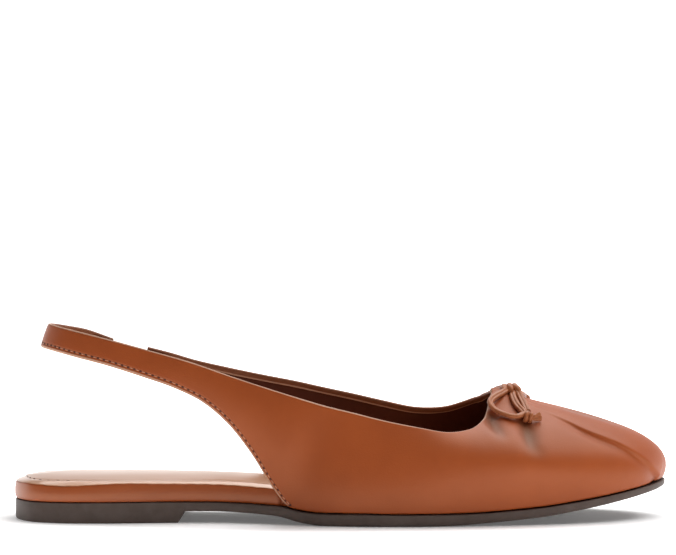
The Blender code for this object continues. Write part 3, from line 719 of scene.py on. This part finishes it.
inner_strap = [back_ray(STRAP_END, 1)] + [back_ray(row, 1) for row in STRAP[3:0:-1]]
outer_back = [back_ray(row, -1) for row in STRAP]
vamp = [vamp_ray(row) for row in VAMP]
inner_back = [back_ray(row, 1) for row in QUARTER]
fine_rays = smooth(inner_strap + outer_back + vamp + inner_back, RAY_STEPS)
vamp_first = (len(inner_strap) + len(outer_back)) * RAY_STEPS
vamp_last = vamp_first + (len(vamp) - 1) * RAY_STEPS
fine_rays[vamp_first:vamp_last + 1, 2] = sole_top(fine_rays[vamp_first:vamp_last + 1, 0]) + CLEARANCE
toe_first, toe_last = vamp_first + 7 * RAY_STEPS, vamp_first + 13 * RAY_STEPS
kept = [i for i in range(len(fine_rays))
        if i % 4 == 0 or (i % 2 == 0 and vamp_first - 30 < i < vamp_last + 30) or toe_first < i < toe_last]
fine_rays = fine_rays[kept]
vamp_first, vamp_last = kept.index(vamp_first), kept.index(vamp_last)


def on_rays(shares):
    """Places at the same shares of the way up every ray, with the leather gathered up under the bow."""
    t = np.asarray(shares)[None, :, None]
    start, rise, fall, top = (fine_rays[:, None, i:i + 3] for i in (0, 3, 6, 9))
    place = start * (1 - t) ** 3 + rise * 3 * t * (1 - t) ** 2 + fall * 3 * t * t * (1 - t) + top * t ** 3
    away = ((place[..., 0] - GATHER_STATION) / GATHER_REACH) ** 2 + (place[..., 1] / GATHER_BREADTH) ** 2
    place[..., 2] += np.where(place[..., 2] > INSTEP_HEIGHT / 2, GATHER_HEIGHT * np.exp(-away), 0)
    return place


def unit(vectors):
    """The same directions with a length of one."""
    return vectors / np.maximum(np.linalg.norm(vectors, axis=-1, keepdims=True), 1e-12)


def outward(sheet):
    """Directions square to a sheet of places, away from the foot."""
    return unit(np.cross(np.gradient(sheet, axis=0), np.gradient(sheet, axis=1)))


def run_along(places):
    """Distance of each place from the first one, along the line through them."""
    return np.concatenate([[0], np.cumsum(np.linalg.norm(np.diff(places, axis=0), axis=1))])


def at_runs(runs, run, places):
    """Places at distances along a line."""
    return np.stack([np.interp(runs, run, places[:, k]) for k in range(3)], axis=-1)


def surface(sheet):
    """Every third place of a sheet as a surface that lines can be dropped on."""
    coarse = sheet[::3, ::3]
    rays, rows = coarse.shape[:2]
    corners = [(i * rows + j, (i + 1) * rows + j, (i + 1) * rows + j + 1, i * rows + j + 1)
               for i in range(rays - 1) for j in range(rows - 1)]
    return BVHTree.FromPolygons([tuple(place) for place in coarse.reshape(-1, 3)], corners)


dense = on_rays(np.linspace(0, 1, 301))
girths = [run_along(line) for line in dense]
skin = np.array([at_runs(np.linspace(WALL / 2, girth[-1] - WALL / 2, UP_ROWS), girth, line)
                 for line, girth in zip(dense, girths)])
skin_out = outward(skin)
vamp_tree = surface(skin)


def over_vamp(station, across, height=None):
    """Place on the outside of the vamp below a point of the plan, or nearest to a place in space."""
    if height is not None:
        return np.array(vamp_tree.find_nearest(Vector((station, across, height)))[0])
    hit = vamp_tree.ray_cast(Vector((station, across, STRAP_HEIGHT)), Vector((0, 0, -1)))[0]
    hit = hit or vamp_tree.find_nearest(Vector((station, across, INSTEP_HEIGHT)))[0]
    return np.array((station, across, hit.z))


def along_line(places, line):
    """How far each place is from a line, at what share of it, and the way from the line to the place."""
    steps = np.linalg.norm(np.diff(line, axis=0), axis=1)
    run = run_along(line)
    best, share, offset = np.full(len(places), 1.0), np.zeros(len(places)), np.zeros(places.shape)
    for k in range(len(line) - 1):
        way = line[k + 1] - line[k]
        t = np.clip((places - line[k]) @ way / (way @ way), 0, 1)
        apart = places - line[k] - t[:, None] * way
        gap = np.linalg.norm(apart, axis=1)
        nearer = gap < best
        best[nearer], offset[nearer] = gap[nearer], apart[nearer]
        share[nearer] = (run[k] + t[nearer] * steps[k]) / run[-1]
    return best, share, offset


def laid_line(route):
    """Line on the vamp through stations, distances across and heights, in millimetres."""
    return np.array([over_vamp(*point) for point in smooth(np.array(route) / 1000, 5)])


def fade(share, fade_in, fade_out):
    """How a crease comes in and goes out along its route."""
    ends = np.clip(share / fade_in, 0, 1) * np.clip((1 - share) / fade_out, 0, 1)
    return ends * ends * (3 - 2 * ends)


def crease(places, route, depth, width, fade_in, fade_out):
    """Height that a soft crease adds to each place: a ridge, or a trough where its depth is negative."""
    gap, share, _ = along_line(places, laid_line(route))
    return depth / 1000 * fade(share, fade_in, fade_out) * np.exp(-(gap / width * 1000) ** 2)


def tuck(places, outs, route, inboard, rise, drop, fade_in, fade_out):
    """Height that a tuck adds: the leather inboard of it lies over the leather outboard of it."""
    gap, share, offset = along_line(places, laid_line(route))
    line_way = unit(np.gradient(laid_line(route), axis=0))
    way = line_way[(share * (len(line_way) - 1)).round().astype(int)]
    side = inboard * np.einsum("ij,ij->i", offset, unit(np.cross(outs, way)))
    lip = 0.5 + 0.5 * np.tanh(side / TUCK_LIP)
    height = rise * np.exp(-np.maximum(side, 0) / TUCK_RUN) * lip
    valley = drop * np.exp(-(np.minimum(side + 0.0004, 0) / TUCK_VALLEY) ** 2) * (1 - lip)
    near = np.exp(-(np.maximum(gap - np.abs(side), 0) / 0.004) ** 2)
    return (height - valley) / 1000 * fade(share, fade_in, fade_out) * near


# The two long tucks of the toe: stations, distances across and heights, in mm, from the bow forwards
TUCK_LIP = 0.0005
TUCK_RUN = 0.0070
TUCK_VALLEY = 0.0034
TUCK_RISE = 0.60
TUCK_DROP = 0.85
NEAR_TUCK = ((196, -9.0, 41.9), (200.3, -10.6, 40.5), (205.7, -13.3, 38.3), (209.3, -14.8, 36.8),
             (212.8, -16.3, 34.7), (216.5, -16.9, 32.9), (220.2, -16.6, 31.0), (224.0, -15.9, 29.3),
             (227.9, -15.1, 27.6), (231.7, -14.3, 25.4), (235.6, -12.7, 22.9), (237.7, -11.4, 21.3),
             (239.8, -9.2, 19.2), (241.6, -7.0, 17.4), (243.1, -4.6, 15.5), (243.9, -3.2, 13.2))
FAR_TUCK = ((196, 9.0, 44.2), (200.3, 10.6, 43.0), (204.5, 13.3, 41.6), (209.1, 15.9, 39.9),
            (213.5, 17.8, 38.3), (217.5, 19.4, 36.6), (221.7, 20.8, 34.9), (226, 21.9, 33.0),
            (229.8, 22.6, 30.9), (233.3, 22.9, 28.9), (237, 22.8, 26.8), (239.5, 22.0, 25.2))

# Softer gathers down from the bow: route, depth and width in mm, and how they come in and go out
CREASES = (
    (((180.5, -14), (179.6, -18), (181.0, -24.2), (183.2, -29.3), (185.5, -33)), -1.20, 3.0, 0.2, 0.5),
    (((190.5, -15), (192.2, -19.6), (193.0, -25.7), (194.0, -30.5), (198, -33)), -1.30, 3.2, 0.2, 0.5),
    (((184, -14), (184.3, -21), (185.0, -27.6), (187.6, -33)), 0.45, 3.0, 0.3, 0.5),
    (((180, 14), (178.8, 18), (178.8, 22.8), (179.7, 26.6), (182.6, 31.9)), -0.95, 2.6, 0.3, 0.5),
    (((188, 15), (189.8, 19.6), (190.5, 25.7), (191.5, 31.2), (196.5, 34.5)), -1.05, 2.8, 0.25, 0.5),
    (((184, 14), (184.3, 21), (185.0, 27.6), (187.6, 33)), 0.45, 3.0, 0.3, 0.5),
    (((203, 0.5), (210, 1), (220, 2), (230, 3), (238, 4)), -0.55, 5.0, 0.3, 0.5),
)
# Crease depth at which the painted shade in a crease's hollow is full
SHADED_DEPTH = 0.0016
flat_skin = skin.reshape(-1, 3)
pull = sum(crease(flat_skin, *form) for form in CREASES)
crease_shade = np.clip(-pull / SHADED_DEPTH, 0, 1).reshape(skin.shape[:2])
for route, inboard, fade_out in ((NEAR_TUCK, 1, 0.03), (FAR_TUCK, -1, 0.15)):
    pull += tuck(flat_skin, skin_out.reshape(-1, 3), route, inboard, TUCK_RISE, TUCK_DROP, 0.45, fade_out)

# Ruching round the knot: short pleats that fan out from it and die away
RUCHE_DEPTH = 0.00020
RUCHE_REACH = 0.006
VAMP_FROM = 0.036
from_knot = flat_skin - (GATHER_STATION + 0.0025, 0, 0)
spread = np.hypot(from_knot[:, 0], from_knot[:, 1])
fan = np.arctan2(from_knot[:, 1], from_knot[:, 0])
pleats = np.sin(fan * 13 + 2.1 * np.sin(fan * 2)) * np.exp(-((spread - RUCHE_REACH) / RUCHE_REACH) ** 2)
pull += np.where(flat_skin[:, 2] > VAMP_FROM, RUCHE_DEPTH * pleats, 0)
pull = pull.reshape(skin.shape[:2])

# Sewn edge: the seam pulls a shallow channel along the strap and the quarters' back edges
SEAM_DEPTH = 0.00016
SEAM_BREADTH = 0.0005
low_run = np.linalg.norm(np.diff(skin, axis=1), axis=2).cumsum(axis=1)
from_low = np.concatenate([np.zeros((len(skin), 1)), low_run], axis=1) + WALL / 2
ray_index = np.arange(len(skin))[:, None]
sewn = (ray_index < vamp_first - 4) | (ray_index > vamp_last + 4)
pull -= np.where(sewn, SEAM_DEPTH * np.exp(-((from_low - EDGE_SEAM) / SEAM_BREADTH) ** 2), 0)
skin = skin + skin_out * pull[..., None]
skin_out = outward(skin)


def rolled(edge, out, away):
    """Rows of places that roll an edge over from the outside to the inside."""
    radius = WALL / 2
    return [edge - out * radius + radius * (out * math.cos(a) + away * math.sin(a))
            for a in np.linspace(0, math.pi, 9)[1:-1]]


top_way, low_way = unit(skin[:, -1] - skin[:, -2]), unit(skin[:, 0] - skin[:, 1])
inner_pick = np.linspace(UP_ROWS - 1, 0, INNER_ROWS).round().astype(int)
inner_top = skin[:, -1] - skin_out[:, -1] * WALL
section = [skin[:, j] for j in range(UP_ROWS)]
section += rolled(skin[:, -1], skin_out[:, -1], top_way)
section += [inner_top, inner_top - top_way * (FACING - RAW_EDGE), inner_top - top_way * FACING]
lining_from = len(section)
section += [skin[:, j] - skin_out[:, j] * (WALL - LINING_STEP)
            - (top_way * (FACING + 0.0002) if j == UP_ROWS - 1 else 0) for j in inner_pick]
section += rolled(skin[:, 0], skin_out[:, 0], low_way)[::-1]
section.append(section[0])
upper_mesh = drape(np.array(section))
# Painted shade at each place: full in the deepest crease hollows, and FACING_SHADE over the inner face of the
# folded top
shade = np.zeros((len(section), len(skin)))
shade[:UP_ROWS], shade[UP_ROWS + 4:lining_from] = crease_shade.T, FACING_SHADE
painted_shade = upper_mesh.verts.layers.float.new("painted_shade")
for vert, depth in zip(upper_mesh.verts, shade.ravel()):
    vert[painted_shade] = depth
for face in upper_mesh.faces:
    ray, row = np.min([loop[upper_mesh.loops.layers.uv.active].uv for loop in face.loops], axis=0)
    ray, row = ray * (len(skin) - 1), row * (len(section) - 1)
    # The edge colour goes on the outer half of the rolled top, the facing's raw edge and the turned lower
    # edges of strap and quarters: a painted highlight along the rolled top, and the paler cut leather with a
    # painted highlight along the raw and turned edges
    on_rim = (UP_ROWS - 0.5 < row < UP_ROWS + 2.5 or lining_from - 2.5 < row < lining_from - 0.5
              or row > len(section) - 7.5 and not vamp_first - 1 < ray < vamp_last)
    face.material_index = 1 if lining_from - 0.5 < row < lining_from + INNER_ROWS - 1.5 else 2 * on_rim

# Painted shade: the creases' hollows and the inner face of the folded top are darkened in the colour,
# standing in for the shade that falls there
upper_leather, shader, nodes, links, tone = leather("upper_leather", TAN_DEEP, TAN_LIGHT, (0.50, 0.44),
                                                    gleam=0.5)
painted_shade_node = nodes.new("ShaderNodeAttribute")
painted_shade_node.attribute_name = "painted_shade"
CREASE_SHADE_TONE = (0.150, 0.052, 0.022, 1)
two_tones(nodes, links, shader, painted_shade_node.outputs["Fac"], tone, CREASE_SHADE_TONE)
LINING_DEEP = (0.082, 0.019, 0.010, 1)
LINING_LIGHT = (0.112, 0.029, 0.015, 1)
# Edge colour: the paler cut leather, lightened further as a painted highlight of the lit edges
EDGE_DEEP = (0.440, 0.220, 0.135, 1)
EDGE_LIGHT = (0.530, 0.290, 0.190, 1)
lining = leather("brown_lining", LINING_DEEP, LINING_LIGHT, (0.62, 0.55), 1300.0, gleam=0.2)[0]
edge_tone_and_highlight = leather("edge_tone_and_highlight", EDGE_DEEP, EDGE_LIGHT, (0.60, 0.50), 2400.0)[0]
upper = dress("leather_upper", joined(upper_mesh, filled=True), upper_leather, lining, edge_tone_and_highlight)
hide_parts("upper")


# The stitching: pale thread in short even stitches along the sewn edges of the strap and the quarters,
# each one lying in the channel and dipping into a needle hole at either end. Each hole is a flat dark oval:
# painted shade of the hole's inside.
STITCH_PITCH = 0.0024
STITCH_LENGTH = 0.0016
THREAD = 0.00040
HOLE = 0.00105
SEAM_TAIL = 0.0035
THREAD_DEEP = (0.50, 0.20, 0.11, 1)
THREAD_LIGHT = (0.66, 0.33, 0.20, 1)
HOLE_SHADE_DEEP = (0.080, 0.021, 0.010, 1)
HOLE_SHADE_PALE = (0.125, 0.036, 0.017, 1)


def seam_line(rays):
    """Places and outward directions, a stitch apart, along the sewn edge of rays and on to the sole."""
    places, outs = [], []
    for i in rays:
        at = np.interp(EDGE_SEAM, from_low[i], np.arange(UP_ROWS))
        j, share = int(at), at - int(at)
        places.append(skin[i, j] * (1 - share) + skin[i, j + 1] * share)
        outs.append(skin_out[i, j])
    places.append(places[-1] + unit(places[-1] - places[-9]) * SEAM_TAIL)
    places, outs = np.array(places), np.array(outs + outs[-1:])
    run = run_along(places)
    at = np.arange(STITCH_PITCH, run[-1] - STITCH_PITCH, STITCH_PITCH)
    return at_runs(at, run, places), unit(at_runs(at, run, outs))


def bead(mesh, place, way, out, size, around, rows):
    """Small oval of a size along a way, across it and outwards, added to a mesh."""
    turn = Matrix(np.column_stack([way, np.cross(out, way), out]).tolist()).to_4x4()
    bmesh.ops.create_uvsphere(mesh, u_segments=around, v_segments=rows, radius=0.5,
                              matrix=Matrix.Translation(place) @ turn @ Matrix.Diagonal((*size, 1)))


stitches, holes = bmesh.new(), bmesh.new()
for rays in (range(2, vamp_first), range(len(skin) - 3, vamp_last - 1, -1)):
    places, outs = seam_line(rays)
    ways = unit(np.gradient(places, axis=0))
    for place, out, way in zip(places + SHOE_PLACE, outs, ways):
        bead(stitches, place + out * THREAD * 0.20, way, out, (STITCH_LENGTH, THREAD, THREAD * 0.8), 6, 5)
        bead(holes, place + way * STITCH_PITCH / 2 + out * 0.00002, way, out, (HOLE, HOLE, HOLE * 0.3), 6, 4)

# Needle holes of the seam round the sock's heel: dark slits, painted shade of the holes' insides
SOCK_SEAM = 0.0042
SOCK_SEAM_END = 0.026
SOCK_PITCH = 0.0040
SOCK_SLIT = (0.0017, 0.0006, 0.0003)
sock_tree = BVHTree.FromPolygons([v.co for v in sock.data.vertices], [p.vertices for p in sock.data.polygons])
for side in ring(lambda x: footbed_inset(x) + SOCK_SEAM, footbed_top):
    run = run_along(side)
    end = np.interp(SOCK_SEAM_END, side[:, 0], run)
    for at in np.arange(SOCK_PITCH / 2, end, SOCK_PITCH):
        place, further = at_runs(np.array([at, at + 0.001]), run, side)
        above = Vector(place + SHOE_PLACE) + Vector((0, 0, 0.01))
        place, out = sock_tree.ray_cast(above, Vector((0, 0, -1)))[:2]
        way = unit(further - (np.array(place) - SHOE_PLACE) - np.array(out) * (further[2] - place.z))
        bead(holes, place, way, out, SOCK_SLIT, 8, 4)

thread, shader, nodes, links = fresh_material("pale_thread")
twist = texture_noise(nodes, links, own_place(nodes), 3500.0)
two_tones(nodes, links, shader, twist.outputs["Fac"], THREAD_DEEP, THREAD_LIGHT)
shader.inputs["Roughness"].default_value = 0.65
raise_bump(nodes, links, shader, twist.outputs["Fac"], 0.00005)
# Needle holes: a dark colour with a random mottle, painted shade standing in for the shade inside each hole
needle_hole, shader, nodes, links = fresh_material("needle_hole")
hole_shade_mottle = texture_noise(nodes, links, own_place(nodes), 900.0)
two_tones(nodes, links, shader, hole_shade_mottle.outputs["Fac"], HOLE_SHADE_DEEP, HOLE_SHADE_PALE)
shader.inputs["Roughness"].default_value = 0.8
dress("edge_stitches", stitches, thread)
dress("needle_holes", holes, needle_hole)


# The elastic: a short ribbed band sewn inside the end of the strap and inside the inner quarter, so that
# the strap gives when the heel goes in.
GORE_WIDTH = 0.0070
GORE_THICKNESS = 0.0012
GORE_TUCK = 0.0080
GORE_RIBS = 11
RIB_DEPTH = 0.00010
ELASTIC_DEEP = (0.24, 0.080, 0.034, 1)
ELASTIC_LIGHT = (0.36, 0.135, 0.060, 1)

middle = on_rays([0.5])[:, 0]
upright = unit(dense[:, -1] - dense[:, 0])


def tucked(places):
    """Three places along the inside of an end of the leather, starting near its edge."""
    return list(at_runs(GORE_TUCK * np.array((0.2, 0.6, 1)), run_along(places), places))


band = smooth(tucked(middle[:40])[::-1] + tucked(middle[:-41:-1]), 12)
band_up = unit(upright[0] + upright[-1])
band_out = unit(np.cross(band_up, np.gradient(band, axis=0)))
across = np.linspace(-1, 1, 12 * GORE_RIBS + 1)
rib = RIB_DEPTH * (np.abs(np.sin(across * math.pi / 2 * GORE_RIBS)) - 1) - 0.0003 * np.abs(across) ** 12
band_loop = [band - band_out * (WALL + CLEARANCE - lift) + band_up * GORE_WIDTH / 2 * b
             for b, lift in zip(across, rib)]
band_loop += [band - band_out * (WALL + CLEARANCE + GORE_THICKNESS + lift) + band_up * GORE_WIDTH / 2 * b
              for b, lift in zip(across[::-1], rib[::-1])]
elastic, shader, nodes, links = fresh_material("ribbed_elastic")
where = own_place(nodes)
knit = nodes.new("ShaderNodeTexWave")
knit.bands_direction = "X"
settle(knit, {"Scale": 700.0, "Distortion": 1.5})
links.new(where, knit.inputs["Vector"])
two_tones(nodes, links, shader, knit.outputs["Fac"], ELASTIC_DEEP, ELASTIC_LIGHT)
shader.inputs["Roughness"].default_value = 0.8
raise_bump(nodes, links, shader, knit.outputs["Fac"], 0.00012)
band_mesh = drape(np.array(band_loop + band_loop[:1]))
gore = dress("ribbed_elastic_gore", joined(band_mesh, filled=True), elastic)
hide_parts("elastic_gore")


# The bow: two narrow laces of rolled leather, each with the fold of its seam showing as a groove. Each one
# makes a loop on its own side, passes through the knot and ends in a small knot on the other side.
LACE_WIDTH = 0.0026
LACE_HEIGHT = 0.0020
LACE_GROOVE = 0.34
LACE_ROUND = 0.0007
CORD_DEEP = (0.340, 0.095, 0.032, 1)
CORD_LIGHT = (0.440, 0.140, 0.052, 1)
vamp_tree = surface(skin)


def rolled_lace(mesh, path, width, height, groove, up, roll=0.0):
    """Lace of rolled leather along a path, with its groove on the side named up, added to a mesh."""
    ahead = unit(np.gradient(path, axis=0))
    ups = [unit(np.cross(np.cross(ahead[0], up), ahead[0]))]
    for way in ahead[1:]:
        ups.append(unit(ups[-1] - way * (ups[-1] @ way)))
    ups = np.array(ups)
    sides = np.cross(ahead, ups)
    run = run_along(path)
    from_end = np.minimum(run, run[-1] - run)
    ends = np.sqrt(np.clip(1 - (1 - np.minimum(1, from_end / LACE_ROUND)) ** 2, 0.0004, 1))
    turn = roll * run / run[-1]
    rows = []
    for angle in np.linspace(0, 2 * math.pi, 25):
        dent = 1 - groove * math.exp(-((angle - math.pi / 2) / 0.33) ** 2)
        a, b = width / 2 * math.cos(angle) * dent * ends, height / 2 * math.sin(angle) * dent * ends
        rows.append(path + sides * (a * np.cos(turn) - b * np.sin(turn))[:, None]
                    + ups * (a * np.sin(turn) + b * np.cos(turn))[:, None])
    drape(np.array(rows), mesh)


# Station, distance across and height, in mm, from the knot round the loop and out of the other side
NEAR_LACE = (
    (187.6, -1.2, 48.6), (186.9, -2.4, 48.4), (185.6, -4.3, 47.8), (184.1, -6.3, 47.1),
    (182.2, -8.4, 46.3), (180.6, -10.6, 45.4), (179.7, -12.6, 44.3), (180.0, -14.7, 42.9),
    (181.3, -16.5, 41.6), (182.9, -18.0, 40.7), (184.9, -19.2, 40.0), (187.0, -19.7, 39.4),
    (189.2, -19.3, 39.3), (190.9, -18.2, 39.7), (191.9, -17.0, 40.3), (191.4, -15.5, 41.1),
    (190.3, -13.4, 42.3), (189.5, -11.1, 43.5), (188.8, -8.0, 45.2), (188.6, -4.9, 46.7),
    (189.4, -1.8, 47.7), (190.5, 1.4, 47.5), (192.0, 4.5, 46.7), (193.3, 9.0, 45.9),
    (194.0, 14.9, 44.7), (194.2, 17.6, 43.9),
)
FAR_LACE = (
    (187.2, 1.6, 49.2), (186.4, 3.4, 49.1), (185.2, 7.0, 48.6), (183.6, 10.9, 47.8), (183.3, 14.7, 46.9),
    (185.6, 17.8, 45.7), (188.6, 18.9, 44.4), (190.8, 17.4, 44.6), (190.9, 14.1, 45.7), (190.1, 9.6, 46.7),
    (188.9, 5.0, 48.1), (188.8, 2.4, 49.4), (189.3, -0.4, 49.7), (190.4, -2.9, 48.2), (191.3, -5.6, 46.3),
    (192.1, -9.4, 44.3), (192.9, -13.4, 42.2), (193.4, -16.4, 40.6),
)
bow_leather = leather("bow_leather", CORD_DEEP, CORD_LIGHT, (0.42, 0.34), 2600.0, gleam=0.5)[0]


def end_knot(name, centre, way):
    """Overhand knot at the end of a lace: its turns, its heart and its flared, cut end."""
    mesh = bmesh.new()
    way = unit(np.array(way))
    out = unit(np.cross(way, (0, 0, 1)))
    lift = np.cross(out, way)
    turns = np.linspace(-0.35, 1.20, 40) * 2 * math.pi
    coil = np.array([centre + way * (0.00150 * a / (2 * math.pi) - 0.0012)
                     + (out * math.cos(a) + lift * math.sin(a)) * 0.00140 for a in turns])
    rolled_lace(mesh, coil, 0.0020, 0.0017, 0.15, out)
    heart = smooth([centre - way * 0.0024 + out * 0.0003, centre + out * 0.0009,
                    centre + way * 0.0014 + out * 0.0007, centre + way * 0.0024 + out * 0.0003,
                    centre + way * 0.0034 + lift * 0.0003, centre + way * 0.0044 + lift * 0.0005], 8)
    spread = np.clip(np.linspace(-0.6, 1, len(heart)), 0, 1)
    rolled_lace(mesh, heart, 0.0022 + 0.0017 * spread, 0.0019 - 0.0006 * spread, 0.55, out)
    return dress(name, joined(mesh), bow_leather)


laces = []
for name, route, sign in (("near_lace", NEAR_LACE, 1), ("far_lace", FAR_LACE, -1)):
    path = smooth(np.array(route) / 1000, 8)
    mesh = bmesh.new()
    rolled_lace(mesh, path, LACE_WIDTH, LACE_HEIGHT, LACE_GROOVE, (0, -0.9 * sign, 0.45), 0.4 * sign)
    laces.append((dress(name, joined(mesh), bow_leather), path))

near_knot = end_knot("near_end_knot", over_vamp(0.1940, -0.0182) + (0, 0, 0.0020), (1.0, -0.10, -0.05))
far_knot = end_knot("far_end_knot", over_vamp(0.1945, 0.0196) + (0, 0, 0.0017), (0.60, 0.75, -0.35))

# Turns of the knot: station at the near side, on top and at the far side, height on top and thickness
KNOT_TURNS = ((0.1856, 0.1857, 0.1862, 0.0495, 0.0026), (0.1880, 0.1877, 0.1880, 0.0500, 0.0022),
              (0.1907, 0.1895, 0.1900, 0.0497, 0.0026))
knot_mesh = bmesh.new()
for near, station, far, height, thick in KNOT_TURNS:
    wrap = [(near, -0.0037, height - 0.0032), (near, -0.0033, height - 0.0014),
            (station, -0.0017, height - 0.0003), (station, 0.0, height), (station, 0.0017, height - 0.0003),
            (far, 0.0033, height - 0.0014), (far, 0.0037, height - 0.0032)]
    rolled_lace(knot_mesh, smooth(wrap, 8), thick, thick * 0.85, 0.10, (0, 1, 0))
bow_knot = dress("bow_knot_wraps", joined(knot_mesh), bow_leather)
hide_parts("bow_knot")

# Knots listed with each lace and the parts each lace shows; the parts it shows are hidden
CARRIED = (([far_knot, bow_knot], ("bow_loop_outer", "bow_end_inner")),
           ([near_knot], ("bow_loop_inner", "bow_end_outer")))
for (lace, path), (knots, shown) in zip(laces, CARRIED):
    run = float(np.linalg.norm(np.diff(path, axis=0), axis=1).sum())
    path = path + SHOE_PLACE
    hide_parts(*shown)
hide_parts("end_knot_outer")
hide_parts("end_knot_inner")
